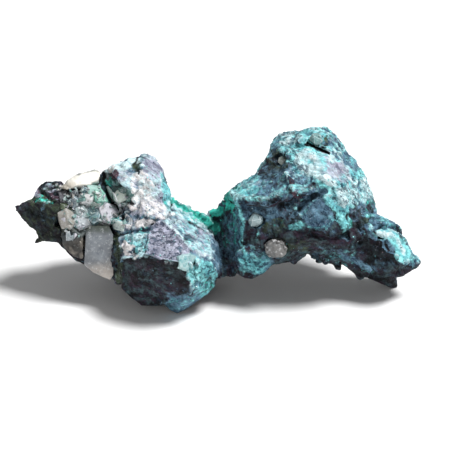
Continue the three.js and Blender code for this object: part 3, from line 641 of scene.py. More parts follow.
# Where the tarnish is blackest: partly the blackest bare tarnish, partly painted shade in the slot,
# crevices, grooves and hollow, under the brow and under the lilac face's edge.
SOOT_AND_SHADE: tuple[Mark, ...] = patches(
    (-31.0, 15.2, 5.2, 3.2, 0.7, -24), (-27.6, 17.4, 1.8, 2.6, 0.7), (-6.6, 5.0, 1.4, 2.4, 0.6, 24),
) + strokes(
    (((19.8, 8.1), (24.4, 6.5), (28.6, 5.5), (31.0, 4.4)), 0.8, 1.0), (WING_CRACK, 0.4, 1.0),
    (NODULE_SEAM, 0.35, 0.9), (CREVICE, 0.9, 1.0), (CREVICE_FOOT, 0.8, 1.0), (CREST_NOTCH, 0.5, 1.0),
    # The first stroke of this line is painted shadow under the lilac face's lower edge.
    (((-16.9, 9.0), (-12.4, 9.0), (-7.7, 7.9)), 1.2, 0.7), (SLIT_LINE, 0.6, 1.0), (BROW_SHADE, 0.8, 0.6),
    (BAND_SHADE, 0.6, 0.8),
) + (Plate(HOLLOW_FACE, 0.4, 0.6),)

# Where the crusts are more deeply pitted, or less where the amount is below zero.
PITTED: tuple[Mark, ...] = (
    *patches(
        (11.6, 28.6, 3.0, 3.2, 0.9), (14.6, 23.6, 2.2, 1.8, 0.8, -30), (6.0, 8.6, 3.4, 2.8, 0.8),
        (-2.8, 6.0, 2.6, 2.6, 0.8, -50), (-1.0, 10.6, 1.4, 4.0, 0.5, 4), (23.8, 21.0, 2.6, 5.2, 0.5, -68),
        (-13.8, 11.6, 1.6, 1.8, 0.6), (-10.8, 13.2, 2.6, 2.4, 0.7, -30), (-8.2, 10.6, 2.6, 2.0, 0.3),
        (17.6, 26.2, 4.4, 2.0, -0.6, -36),
    ),
    Plate(LILAC_FACE, 0.4, 0.6),
    *patches(
        (-12.6, 20.6, 3.2, 5.0, -0.3, 16), (-6.8, 1.4, 3.4, 1.6, -0.9, 6),
        (30.4, 11.8, 3.0, 1.6, -0.9, -40), (7.4, 22.2, 3.4, 1.2, -0.5, 20),
    ),
)


# ---- shader groups


def new_group(name: str, inputs: Iterable[str], outputs: Iterable[str]) -> NodeTree:
    """Makes an empty shader node group that takes a place and some numbers and gives numbers.

    Args:
        name: The group's name.
        inputs: Names of its inputs, after the place.
        outputs: Names of its outputs.

    Returns:
        The group, with its input and output nodes in place.
    """
    group = bpy.data.node_groups.new(name, "ShaderNodeTree")
    group.interface.new_socket("Place", in_out="INPUT", socket_type="NodeSocketVector")
    for way, labels in (("INPUT", inputs), ("OUTPUT", outputs)):
        for label in labels:
            group.interface.new_socket(label, in_out=way, socket_type="NodeSocketFloat")
    group.nodes.new("NodeGroupInput").name = "In"
    group.nodes.new("NodeGroupOutput").name = "Out"
    return group


@dataclass
class Wiring:
    """Short hands for laying nodes in one tree.

    Attributes:
        tree: The material's, the group's or the world's tree.
    """

    tree: NodeTree

    def feed(self, socket: NodeSocket, value: object) -> None:
        """Links a socket to another, or sets it to a plain value.

        Args:
            socket: The input to feed.
            value: The output it is linked to, or its value.
        """
        if isinstance(value, NodeSocket):
            self.tree.links.new(value, socket)
        else:
            socket.default_value = value

    def node(self, kind: str, given: dict[str | int, object], **settings: object) -> Node:
        """Adds a node, sets its options and feeds its inputs.

        Args:
            kind: Blender's name for such a node.
            given: What feeds each input, by the input's name or number.
            settings: The node's options.

        Returns:
            The node.
        """
        made = self.tree.nodes.new(kind)
        for label, value in settings.items():
            setattr(made, label, value)
        for label, value in given.items():
            self.feed(made.inputs[label], value)
        return made

    def math(self, operation: str, first: object, second: object) -> NodeSocket:
        """Works out one value from two."""
        return self.node("ShaderNodeMath", {0: first, 1: second}, operation=operation).outputs[0]

    def times(self, first: object, second: object) -> NodeSocket:
        """Multiplies two values."""
        return self.math("MULTIPLY", first, second)

    def noise(self, place: object, scale: object, detail: float) -> NodeSocket:
        """Adds a noise texture and gives its factor."""
        given = {"Vector": place, "Scale": scale, "Detail": detail, "Roughness": 0.6}
        return self.node("ShaderNodeTexNoise", given).outputs["Fac"]

    def spots(self, place: object, scale: object) -> NodeSocket:
        """Adds a cell texture and gives the distance to the nearest spot."""
        given = {"Vector": place, "Scale": scale}
        return self.node("ShaderNodeTexVoronoi", given).outputs["Distance"]

    def ramp(self, value: object, low: object, high: object, to: Spot = (0.0, 1.0)) -> NodeSocket:
        """Maps a value smoothly from one range to another."""
        given = {"Value": value, "From Min": low, "From Max": high, "To Min": to[0], "To Max": to[1]}
        return self.node("ShaderNodeMapRange", given, interpolation_type="SMOOTHSTEP").outputs[0]

    def mix(self, share: object, under: object, over: object, how: str = "MIX") -> NodeSocket:
        """Mixes two colours, or multiplies them."""
        given = {"Factor": share, 6: under, 7: over}
        return self.node("ShaderNodeMix", given, data_type="RGBA", blend_type=how).outputs[2]

    def veil(self, mask: object, share: float, under: object, over: Color) -> NodeSocket:
        """Lays a share of a colour over another where a mask is."""
        return self.mix(self.times(mask, share), under, over)

    def raise_by(self, shader: Node, height: object, strength: float, distance: float) -> None:
        """Gives a shader's surface a bump, with a strength and a height in metres."""
        bump = self.node("ShaderNodeBump", {"Strength": strength, "Distance": distance, "Height": height})
        self.feed(shader.inputs["Normal"], bump.outputs["Normal"])

    def attribute(self, name: str, output: str = "Fac") -> NodeSocket:
        """Reads one of a mesh's own layers, as a value or a "Color"."""
        return self.node("ShaderNodeAttribute", {}, attribute_name=name).outputs[output]

    def place_mm(self) -> NodeSocket:
        """Gives the place on the object in millimetres."""
        given = {0: self.node("ShaderNodeTexCoord", {}).outputs["Object"], "Scale": 1.0 / MM}
        return self.node("ShaderNodeVectorMath", given, operation="SCALE").outputs["Vector"]

    def use(self, group: NodeTree, **values: object) -> Node:
        """Places a node group and feeds its inputs, with spaces in their names as underscores."""
        given = {label.replace("_", " "): value for label, value in values.items()}
        return self.node("ShaderNodeGroup", given, node_tree=group)


def crust_cover_group() -> NodeTree:
    """Builds the group that breaks a crust into islands where it is thin.

    Returns:
        The group, with the crust's mask and its shade from 0 in hollows to 1 on heights.
    """
    group = new_group("crust_cover", ("Coverage", "Grain mm", "Edge", "Seed"), ("Mask", "Shade"))
    wire = Wiring(group)
    given = group.nodes["In"].outputs
    moved = {0: given["Place"], 1: given["Seed"]}
    place = wire.node("ShaderNodeVectorMath", moved, operation="ADD").outputs["Vector"]
    scale = wire.math("DIVIDE", 1.0, given["Grain mm"])
    coarse = wire.ramp(wire.noise(place, scale, 4.0), 0.3, 0.7)
    fine = wire.ramp(wire.noise(place, wire.times(scale, 3.4), 2.0), 0.28, 0.72)
    blend = wire.math("ADD", wire.times(coarse, 0.66), wire.times(fine, 0.34))
    swing = wire.noise(place, wire.times(scale, 0.45), 2.0)
    shade = wire.times(wire.ramp(swing, 0.3, 0.7), 0.65)
    shade = wire.math("ADD", shade, wire.times(fine, 0.35))
    edge = given["Edge"]
    span = wire.math("ADD", wire.times(edge, 2.0), 1.0)
    low = wire.math("SUBTRACT", 1.0, wire.times(given["Coverage"], span))
    high = wire.math("ADD", low, wire.times(edge, 2.0))
    wire.feed(group.nodes["Out"].inputs["Mask"], wire.ramp(blend, low, high))
    wire.feed(group.nodes["Out"].inputs["Shade"], shade)
    return group


def grit_group() -> NodeTree:
    """Builds the group that gives a surface its fine crystalline grit.

    Returns:
        The group, with the grit's height and where it glints.
    """
    group = new_group("grit", ("Grain mm",), ("Height", "Glint"))
    wire = Wiring(group)
    given = group.nodes["In"].outputs
    scale = wire.math("DIVIDE", 1.0, given["Grain mm"])
    cells = wire.spots(given["Place"], scale)
    dust = wire.noise(given["Place"], wire.times(scale, 1.7), 3.0)
    height = wire.math("SUBTRACT", dust, wire.times(cells, 0.7))
    wire.feed(group.nodes["Out"].inputs["Height"], height)
    wire.feed(group.nodes["Out"].inputs["Glint"], wire.ramp(dust, 0.45, 0.62))
    return group


@dataclass(frozen=True)
class Islands:
    """How a film breaks up into islands.

    Attributes:
        grain_mm: Size of one island.
        edge: Softness of the islands' borders.
        seed: Which stretch of the endless pattern it takes.
        coverage: Share of the surface it covers, unless the mesh gives that.
    """

    grain_mm: float
    edge: float
    seed: float
    coverage: float = 0.0


@dataclass
class ShaderGroups:
    """The effects that more than one material uses.

    Attributes:
        cover: The group that breaks a crust into islands.
        grit: The group that gives a surface its grit.
    """

    cover: NodeTree = field(default_factory=crust_cover_group)
    grit: NodeTree = field(default_factory=grit_group)

    def islands(
        self, wire: Wiring, place: object, look: Islands, coverage: object = None
    ) -> Node:
        """Places a film's islands in a material.

        Args:
            wire: The material's wiring.
            place: Where on the surface, in millimetres.
            look: How the film breaks up.
            coverage: Share that it covers, where that changes over the surface.

        Returns:
            The node, with the film's mask and its shade.
        """
        covered = look.coverage if coverage is None else coverage
        sizes = {"Grain_mm": look.grain_mm, "Edge": look.edge, "Seed": look.seed}
        return wire.use(self.cover, Place=place, Coverage=covered, **sizes)


def new_material(name: str) -> tuple[Material, Wiring, Node]:
    """Makes a material with its shader and output in place.

    Args:
        name: The material's name.

    Returns:
        The material, its wiring and its Principled shader.
    """
    material = bpy.data.materials.new(name)
    material.use_nodes = True
    return material, Wiring(material.node_tree), material.node_tree.nodes["Principled BSDF"]


@dataclass
class CrustedCopper:
    """Tarnished copper under its green, blue, lilac and white crusts.

    Attributes:
        groups: The shared shader effects.
        tarnish: The blackest tarnish, which is also laid into the hollows, partly as tarnish and partly as
            painted shade.
        blooms: Its purple, blue and thin green blooms, and how each breaks up.
        seed_step: How far apart the crusts' patterns lie.
        pit_blue: The blue in the pits of the crusts.
        pits: How the pits lie.
        pit_share: How far that blue hides the crust.
        speck_pale: The pale dust on the crusts.
        dust: How the dust lies.
        dust_share: How far it hides the crust.
        fleck_scale: Flecks to a millimetre.
        streak: How far the crusts are drawn out along their slope.
        streak_turn: How far that slope falls to the right, in radians.
        grit_mm: Size of one grain of the crusts' grit.
        grit_height: Height of the grit's bump, in metres.
        bump: Strength of that bump.
        gloss: How much its faces shine.
    """

    groups: ShaderGroups
    tarnish: Color = linear(10, 11, 13)
    blooms: tuple[tuple[Color, Islands], ...] = (
        (linear(54, 40, 54), Islands(2.2, 0.34, 200.0, 0.46)),
        (linear(34, 46, 66), Islands(1.2, 0.34, 231.0, 0.34)),
        (linear(68, 88, 92), Islands(1.5, 0.34, 262.0, 0.4)),
    )
    seed_step: float = 7.7
    pit_blue: Color = linear(26, 48, 70)
    pits: Islands = Islands(0.72, 0.14, 90.0)
    pit_share: float = 0.8
    speck_pale: Color = linear(206, 214, 226)
    dust: Islands = Islands(0.6, 0.12, 120.0, 0.2)
    dust_share: float = 0.25
    fleck_scale: float = 1.5
    streak: float = 1.5
    streak_turn: float = math.radians(42.0)
    grit_mm: float = 0.36
    grit_height: float = 0.00012
    bump: float = 0.7
    gloss: float = 0.16

    def drawn_out(self, wire: Wiring, place: NodeSocket) -> NodeSocket:
        """Stretches the place along the slope, so that patterns run down it.

        Args:
            wire: The material's wiring.
            place: Where on the surface, in millimetres.

        Returns:
            The stretched place.
        """
        turn, stretch = (0.0, self.streak_turn, 0.0), (self.streak, 1.0, 1.0)
        given = {"Rotation": turn, "Scale": stretch, "Vector": place}
        return wire.node("ShaderNodeMapping", given, vector_type="TEXTURE").outputs["Vector"]

    def build(self) -> Material:
        """Lays the crusts over the tarnish, one after the other.

        Returns:
            The material, which reads each crust's coverage from the mesh.
        """
        material, wire, shader = new_material("crusted_copper")
        place = wire.place_mm()
        sloping = self.drawn_out(wire, place)
        color: object = self.tarnish
        # The blooms thin out where the tarnish is blackest and where shade is painted.
        thin = wire.ramp(wire.attribute("soot_and_shade"), 0.0, 1.0, (0.9, 0.15))
        for bloom, look in self.blooms:
            grown = self.groups.islands(wire, place, look).outputs["Mask"]
            color = wire.mix(wire.times(grown, thin), color, bloom)
        crusted: object = 0.0
        for number, (cover, finish) in enumerate(CRUSTS.items()):
            look = Islands(finish.grain_mm, finish.edge, self.seed_step * number)
            laid = self.groups.islands(wire, sloping, look, wire.attribute(cover.value))
            tint = wire.mix(laid.outputs["Shade"], finish.deep, finish.bright)
            color = wire.mix(laid.outputs["Mask"], color, tint)
            crusted = wire.math("MAXIMUM", crusted, laid.outputs["Mask"])
        pitted = wire.attribute("pitted")
        pits = self.groups.islands(wire, sloping, self.pits, pitted).outputs["Mask"]
        sunk = wire.times(pits, crusted)
        color = wire.veil(sunk, self.pit_share, color, self.pit_blue)
        dust = self.groups.islands(wire, place, self.dust).outputs["Mask"]
        dusted = wire.times(dust, crusted)
        color = wire.veil(dusted, self.dust_share, color, self.speck_pale)
        fleck = wire.ramp(wire.noise(sloping, self.fleck_scale, 3.0), 0.34, 0.66, (0.66, 1.2))
        color = wire.mix(1.0, color, fleck, "MULTIPLY")
        # Concave hollows darken towards the blackest tarnish: partly tarnish, partly painted shade.
        color = wire.veil(wire.attribute("hollow"), 0.8, color, self.tarnish)
        wire.feed(shader.inputs["Base Color"], color)
        grit = wire.use(self.groups.grit, Place=place, Grain_mm=self.grit_mm)
        rough = wire.ramp(grit.outputs["Glint"], 0.0, 1.0, (0.8, 0.45))
        wire.feed(shader.inputs["Roughness"], rough)
        shader.inputs["Specular IOR Level"].default_value = self.gloss
        raised = wire.math("ADD", grit.outputs["Height"], wire.times(crusted, 0.8))
        raised = wire.math("SUBTRACT", raised, pits)
        wire.raise_by(shader, raised, self.bump, self.grit_height)
        return material


class Clarity(Enum):
    """How clear a piece of calcite is."""

    WORN = "worn"
    CLEAR = "clear"
    MILKY = "milky"
    CHALKY = "chalky"
    TURQUOISE = "turquoise"


@dataclass(frozen=True)
class CalciteFinish:
    """Calcite of one clarity.

    Attributes:
        body: Colour of its mass.
        stain: Colour of the films and inclusions in it.
        stained: Share of it that is stained.
        transmission: Share of light that passes into it.
        roughness: Roughness of its faces.
        tinted: Share of the piece's own tint that it takes.
        absorbing: How fast it takes light that passes into it, per metre, where it is clear.
    """

    body: Color
    stain: Color
    stained: float
    transmission: float
    roughness: float
    tinted: float = 1.0
    absorbing: float = 0.0


CALCITES: dict[Clarity, CalciteFinish] = {
    Clarity.WORN: CalciteFinish(linear(238, 241, 243), linear(186, 194, 196), 0.4, 0.1, 0.4, 0.6),
    Clarity.CLEAR: CalciteFinish(
        linear(246, 250, 250), linear(186, 206, 208), 0.35, 0.4, 0.26, absorbing=160.0
    ),
    Clarity.MILKY: CalciteFinish(linear(240, 241, 242), linear(196, 200, 206), 0.35, 0.25, 0.36),
    Clarity.CHALKY: CalciteFinish(linear(250, 248, 246), linear(206, 204, 204), 0.3, 0.1, 0.4),
    Clarity.TURQUOISE: CalciteFinish(
        linear(214, 242, 242), linear(126, 190, 196), 0.4, 0.4, 0.26, absorbing=160.0
    ),
}


@dataclass
class Calcite:
    """Calcite of one clarity, from clear rhombs to chalky crust.

    Attributes:
        groups: The shared shader effects.
        clarity: Which kind it is.
        refraction: How strongly it bends light.
        clouds: How its clouds of stain break up.
        flaws: How the fine flaws inside it lie.
        flaw_white: Their colour.
        flaw_share: How far they hide it.
        grit_mm: Size of one grain of its worn skin.
        grit_height: Height of that skin's bump, in metres.
    """

    groups: ShaderGroups
    clarity: Clarity
    refraction: float = 1.6
    clouds: Islands = Islands(1.1, 0.3, 40.0)
    flaws: Islands = Islands(0.6, 0.2, 77.0, 0.3)
    flaw_white: Color = linear(236, 240, 242)
    flaw_share: float = 0.55
    grit_mm: float = 0.6
    grit_height: float = 0.0001

    def build(self) -> Material:
        """Builds the material, with its clouds and films of stain.

        Returns:
            The material, which reads the piece's own tint from the mesh.
        """
        finish = CALCITES[self.clarity]
        material, wire, shader = new_material(f"{self.clarity.value}_calcite")
        place = wire.place_mm()
        cloud = self.groups.islands(wire, place, replace(self.clouds, coverage=finish.stained))
        color = wire.mix(cloud.outputs["Mask"], finish.body, finish.stain)
        color = wire.mix(finish.tinted, color, wire.attribute("tint", "Color"), "MULTIPLY")
        flaws = self.groups.islands(wire, place, self.flaws).outputs["Mask"]
        color = wire.veil(flaws, self.flaw_share, color, self.flaw_white)
        wire.feed(shader.inputs["Base Color"], color)
        shader.inputs["Roughness"].default_value = finish.roughness
        shader.inputs["IOR"].default_value = self.refraction
        shader.inputs["Transmission Weight"].default_value = finish.transmission
        if finish.absorbing:
            given = {"Color": finish.stain, "Density": finish.absorbing}
            depth = wire.node("ShaderNodeVolumeAbsorption", given)
            output = material.node_tree.nodes["Material Output"]
            wire.feed(output.inputs["Volume"], depth.outputs["Volume"])
        grit = wire.use(self.groups.grit, Place=place, Grain_mm=self.grit_mm)
        wire.raise_by(shader, grit.outputs["Height"], 0.3, self.grit_height)
        return material


@dataclass
class TintedCrust:
    """A rough crust that takes its colour from the mesh, vertex by vertex.

    Attributes:
        groups: The shared shader effects.
        name: The material's name.
        speck: Colour of its fine specks.
        specked: Share of it that they cover.
        roughness: Roughness of its grains.
        specks: How the specks lie.
        grit_mm: Size of one of its grains.
        grit_height: Height of the grains' bump, in metres.
    """

    groups: ShaderGroups
    name: str
    speck: Color
    specked: float
    roughness: float
    specks: Islands = Islands(0.5, 0.1, 61.0)
    grit_mm: float = 0.4
    grit_height: float = 0.0001

    def build(self) -> Material:
        """Builds the material.

        Returns:
            The material, which reads its colour from the mesh.
        """
        material, wire, shader = new_material(self.name)
        place = wire.place_mm()
        specks = self.groups.islands(wire, place, replace(self.specks, coverage=self.specked))
        color = wire.mix(specks.outputs["Mask"], wire.attribute("tint", "Color"), self.speck)
        wire.feed(shader.inputs["Base Color"], color)
        shader.inputs["Roughness"].default_value = self.roughness
        grit = wire.use(self.groups.grit, Place=place, Grain_mm=self.grit_mm)
        wire.raise_by(shader, grit.outputs["Height"], 0.5, self.grit_height)
        return material


# ---- mesh tools


def read_rows(source: object, key: str, kind: type, width: int) -> np.ndarray:
    """Reads one field of a mesh's vertices, edges or layer.

    Args:
        source: Those vertices, edges or values.
        key: The field's name.
        kind: Type of its numbers.
        width: How many numbers each element has.

    Returns:
        The numbers, one element to a row.
    """
    values = np.zeros(len(source) * width, kind)
    source.foreach_get(key, values)
    return values.reshape(-1, width)


def vertex_places(mesh: Mesh) -> np.ndarray:
    """Reads a mesh's vertices, one to a row."""
    return read_rows(mesh.vertices, "co", float, 3)


def vertex_normals(mesh: Mesh) -> np.ndarray:
    """Reads a mesh's vertex normals, one to a row."""
    return read_rows(mesh.vertex_normals, "vector", np.float32, 3).astype(float)


def move_vertices(mesh: Mesh, places: np.ndarray) -> None:
    """Puts a mesh's vertices at new places."""
    mesh.vertices.foreach_set("co", places.ravel())
    mesh.update()


def neighbour_mean(values: np.ndarray, ends: np.ndarray) -> np.ndarray:
    """Averages each vertex's neighbours.

    Args:
        values: A value or a place to each vertex.
        ends: The two vertices of each edge.

    Returns:
        The mean of the neighbours' values, for each vertex.
    """
    count = np.bincount(ends.ravel(), minlength=len(values))
    total = np.zeros_like(values)
    np.add.at(total, ends[:, 0], values[ends[:, 1]])
    np.add.at(total, ends[:, 1], values[ends[:, 0]])
    return total / np.maximum(count, 1).reshape((-1,) + (1,) * (values.ndim - 1))


def store_layer(mesh: Mesh, name: str, values: np.ndarray) -> None:
    """Stores one value or one vector to a vertex.

    Args:
        mesh: The mesh.
        name: The layer's name.
        values: The values, or the vectors one to a row.
    """
    kind, key = ("FLOAT", "value") if values.ndim == 1 else ("FLOAT_VECTOR", "vector")
    layer = mesh.attributes.new(name, kind, "POINT")
    layer.data.foreach_set(key, values.astype(np.float32).ravel())


def store_tint(mesh: Mesh, colors: np.ndarray) -> None:
    """Stores one colour to a vertex, for a shader to read as "tint".

    Args:
        mesh: The mesh.
        colors: The linear colours, one to a row.
    """
    layer = mesh.color_attributes.new("tint", "FLOAT_COLOR", "POINT")
    full = np.concatenate([colors[:, :3], np.ones((len(colors), 1))], axis=1)
    layer.data.foreach_set("color", full.astype(np.float32).ravel())


def tint_all(mesh: Mesh, color: Color) -> None:
    """Gives a whole mesh one tint."""
    store_tint(mesh, np.tile(np.array(color), (len(mesh.vertices), 1)))


def linked_object(name: str, data: ID) -> Object:
    """Puts a mesh, a light or a camera into the scene as an object.

    Args:
        name: The object's name.
        data: The mesh, the light or the camera.

    Returns:
        The object.
    """
    made = bpy.data.objects.new(name, data)
    bpy.context.scene.collection.objects.link(made)
    return made


def add_hull(solid: BMesh, corners: np.ndarray) -> None:
    """Adds a convex body to a mesh in the making.

    Args:
        solid: The mesh in the making.
        corners: The body's corners in metres, one to a row.
    """
    made = [solid.verts.new(corner) for corner in corners]
    hull = bmesh.ops.convex_hull(solid, input=made, use_existing_faces=False)
    spare = [one for one in hull["geom_interior"] if isinstance(one, BMVert)]
    bmesh.ops.delete(solid, geom=spare, context="VERTS")


def mesh_of(solid: BMesh, name: str) -> Mesh:
    """Turns a mesh in the making into a finished one.

    Args:
        solid: The mesh in the making, which is given up.
        name: The new mesh's name.

    Returns:
        The finished mesh.
    """
    bmesh.ops.recalc_face_normals(solid, faces=solid.faces)
    mesh = bpy.data.meshes.new(name)
    solid.to_mesh(mesh)
    solid.free()
    return mesh


def hull_piece(name: str, corners: Iterable[Point]) -> Object:
    """Makes a flat-faced piece.

    Args:
        name: The piece's name.
        corners: Its corners on the show face.

    Returns:
        The piece.
    """
    solid = bmesh.new()
    add_hull(solid, stood(np.array(corners)))
    return linked_object(name, mesh_of(solid, name))


def as_shaped(piece: Object) -> Mesh:
    """Makes a new mesh of a piece, as its modifiers shape it."""
    shape = piece.evaluated_get(bpy.context.evaluated_depsgraph_get())
    return bpy.data.meshes.new_from_object(shape)


def remeshed(
    name: str,
    node: str | None,
    voxel_mm: float,
    rounding: int,
    extra: Iterable[tuple[Point, ...]],
) -> Object:
    """Makes an even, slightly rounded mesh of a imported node, of some bodies, or of both.

    Args:
        name: Name of the new piece.
        node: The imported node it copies, if any.
        voxel_mm: Size of the even mesh's cells.
        rounding: How many times its edges are rounded off.
        extra: Corners, on the show face, of flat-faced bodies that grow into it.

    Returns:
        The new piece, with no modifier left on it.
    """
    solid = bmesh.new()
    if node:
        solid.from_mesh(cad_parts[node].data)
    for corners in extra:
        add_hull(solid, stood(np.array(corners)))
    rough = linked_object(name, mesh_of(solid, name))
    remesh = rough.modifiers.new("even", "REMESH")
    remesh.mode = "VOXEL"
    remesh.voxel_size = voxel_mm * MM
    remesh.use_smooth_shade = True
    smooth = rough.modifiers.new("rounded", "SMOOTH")
    smooth.factor = 0.5
    smooth.iterations = rounding
    mesh = as_shaped(rough)
    bpy.data.objects.remove(rough)
    mesh.materials.clear()
    mesh.name = name
    return linked_object(name, mesh)


def wear_edges(piece: Object, width_mm: float) -> None:
    """Wears a flat-faced piece's edges and gives them its second material.

    Args:
        piece: The piece, with its own material first and the worn edges' second.
        width_mm: Width of the worn edges.
    """
    bevel = piece.modifiers.new("worn", "BEVEL")
    bevel.width = width_mm * MM
    bevel.segments = 1
    bevel.limit_method = "ANGLE"
    bevel.material = 1
    worn = as_shaped(piece)
    piece.modifiers.clear()
    piece.data = worn


def joined_pieces(pieces: list[Object], name: str) -> Object:
    """Joins some pieces, with their layers and materials, into one.

    Args:
        pieces: The pieces.
        name: The joined piece's name.

    Returns:
        The joined piece.
    """
    with bpy.context.temp_override(active_object=pieces[0], selected_editable_objects=pieces):
        bpy.ops.object.join()
    pieces[0].name = pieces[0].data.name = name
    return pieces[0]


def settled(piece: Object, slot: str, *nodes: str) -> None:
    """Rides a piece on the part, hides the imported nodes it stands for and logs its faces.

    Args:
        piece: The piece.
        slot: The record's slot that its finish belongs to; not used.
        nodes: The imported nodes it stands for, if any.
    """
    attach(piece, BODY)
    if nodes:
        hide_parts(*nodes)
    LOG.info("%s: %d faces", piece.name, len(piece.data.polygons))


# ---- copper


# How the marks' borders stray, and how the crusts drift from thick to thin.
STRAY = Wave(0.7, 2.2)
DRIFT = Wave(0.9, 5.0)
# How far one crust's drift is moved on against the next one's, in vertices.
DRIFT_STEP = 97
# The amounts between which a crust keeps the next ones off, and how far it does.
CLAIM_FROM, CLAIM_WHOLE, CLAIM_SHARE = 0.72, 1.0, 0.8
# How far the unseen undersides are darkened as bare and as blackest tarnish: partly their own tarnish,
# partly painted shade.
BARE_AND_SHADED_UNDER = 0.5
SOOT_AND_SHADE_UNDER = 0.2
# How pitted the crusts are where nothing is marked, and where a mark is whole.
PITTED_LEFT = 0.14
PITTED_MORE_RIGHT = 0.2
PITTED_WHOLE = 0.5
# How much of the ground crusts lies on undersides, and how much more on tops: partly where crust grows,
# partly painted light that makes tops lighter and undersides darker.
GROUND_UNDER = 0.35
GROUND_MORE_UP = 0.8
# Over which stretch the left wing ends and the right lobe begins, to the right on the show face.
WING_ENDS_MM = (-27.0, -23.0)
LOBE_STARTS_MM = (-2.0, 3.0)
# Faces on which the crusts keep crisp edges.
CRISP = (Plate(LILAC_FACE, 0.8, 0.6), Plate(DARK_FACE, 0.8, 0.6))


def crust_layers(points_mm: np.ndarray, facing: np.ndarray) -> dict[str, np.ndarray]:
    """Works out how much of each crust covers each point.

    Args:
        points_mm: Points in show-face millimetres.
        facing: Their outward directions, in the show face's axes.

    Returns:
        A coverage from 0 to 1 for each crust by its name, one for the blackest tarnish with its painted
        shade, and how deeply the crusts are pitted as "pitted".
    """
    sideways, upwards = NoiseField(3), NoiseField(8)
    across, up = seen(points_mm)
    stray = STRAY.height * (1.0 - strongest(CRISP, across, up))
    across = across + stray * sideways.fractal(points_mm, STRAY.size, 4)
    up = up + stray * upwards.fractal(points_mm, STRAY.size, 4)
    in_view = rising(-0.15, 0.25, -facing[:, 1] + 0.2 * facing[:, 2])
    upward = rising(-0.5, 0.8, facing[:, 2])
    # Undersides, turned down and away from the eye, are darkened with painted shade as well as tarnish.
    under = (1.0 - in_view) * (1.0 - upward)
    # The marked places and the undersides keep the crusts off: partly bare tarnish, partly painted shade.
    bare_and_shaded = strongest(BARE_AND_SHADED, across, up) * in_view + under * BARE_AND_SHADED_UNDER
    layers = {}
    wander = sideways.fractal(points_mm, DRIFT.size, 3)
    right_lobe = rising(*LOBE_STARTS_MM, points_mm[:, 0])
    wing = 1.0 - rising(*WING_ENDS_MM, points_mm[:, 0])
    claimed = np.zeros(len(points_mm))
    for number, (cover, finish) in enumerate(CRUSTS.items()):
        amount = strongest(PATCHES[cover], across, up)
        claim = rising(CLAIM_FROM, CLAIM_WHOLE, amount) * in_view
        ground = finish.ground + finish.on_right * right_lobe + finish.on_wing * wing
        spread = ground * (1.0 + DRIFT.height * np.roll(wander, DRIFT_STEP * number))
        # Fewer bright crusts on undersides and more on tops: partly growth, partly painted light.
        spread = spread * (GROUND_UNDER + GROUND_MORE_UP * upward)
        amount = np.maximum(amount * in_view, spread) * (1.0 - CLAIM_SHARE * claimed)
        if cover is not Cover.SLATE:
            claimed = np.maximum(claimed, claim)
        layers[cover.value] = np.clip(amount * (1.0 - finish.kept_off * bare_and_shaded), 0.0, 1.0)
    pitted = PITTED_LEFT + PITTED_MORE_RIGHT * right_lobe
    for mark in PITTED:
        share = mark.weight(across, up) * in_view
        more, less = np.maximum(share, 0.0), np.minimum(share, 0.0)
        pitted = pitted + (PITTED_WHOLE - pitted) * more + pitted * less
    layers["pitted"] = pitted
    layers["soot_and_shade"] = np.maximum(strongest(SOOT_AND_SHADE, across, up) * in_view, SOOT_AND_SHADE_UNDER * under)
    return layers


# Flat-faced copper that closes the seams between the main crystals, by corners on the show face.
SEAM_FILLS: tuple[tuple[Point, ...], ...] = (
    (
        (10.2, -7.4, 21.8), (14.6, -8.6, 22.2), (18.8, -8.8, 21.6), (18.4, -8.8, 17.4),
        (14.4, -8.0, 15.2), (10.6, -7.2, 16.4), (11.0, 1.0, 20.4), (17.4, 1.0, 20.4), (14.0, 1.0, 16.4),
    ),
    (
        (-2.2, 3.2, 17.6), (1.6, 3.0, 18.0), (1.4, 2.8, 14.6), (-2.0, 3.2, 14.8), (-0.4, 6.0, 16.4),
    ),
    (
        (-18.2, -5.6, 12.9), (-16.1, -7.1, 12.7), (-16.0, -7.9, 10.3), (-18.1, -5.9, 10.5),
        (-17.0, -3.0, 11.6),
    ),
    (
        (-14.4, -5.2, 18.8), (-10.4, -6.5, 18.6), (-9.4, -6.3, 17.0), (-9.6, -6.9, 15.0),
        (-14.2, -7.4, 14.8), (-12.2, -7.8, 15.8), (-12.0, -7.5, 17.4), (-12.0, -4.0, 17.0),
    ),
    (
        (30.2, -2.0, 7.4), (33.0, -0.9, 7.2), (30.4, -1.4, 5.8), (32.2, -0.8, 6.1), (30.4, 1.5, 7.0),
        (32.6, 1.0, 6.8), (30.6, 1.2, 5.9),
    ),
)

# The open slot between two crystals of the crown, by its corners on the show face.
SLOT: tuple[Point, ...] = (
    (15.1, -14.0, 29.6), (14.9, -14.0, 29.1), (18.9, -14.0, 27.1), (19.1, -14.0, 27.6),
    (15.1, 1.0, 29.55), (14.9, 1.0, 29.2), (18.9, 1.0, 27.2), (19.1, 1.0, 27.55),
)

# Flat crystal faces, where the relief is low.
CALM: tuple[Mark, ...] = (
    Stroke(SLIT_LINE, 1.2, 1.0), Plate(LILAC_FACE, 0.3, 1.0), Plate(DARK_FACE, 0.4, 0.75),
    Plate(OVAL_FACE, 0.4, 0.85), Patch(-11.8, 25.0, 1.3, 1.8, 0.5, -30),
    Patch(-12.6, 18.6, 2.8, 3.4, 0.6, 10), Patch(19.2, 25.2, 2.6, 1.4, 0.5, -40),
)

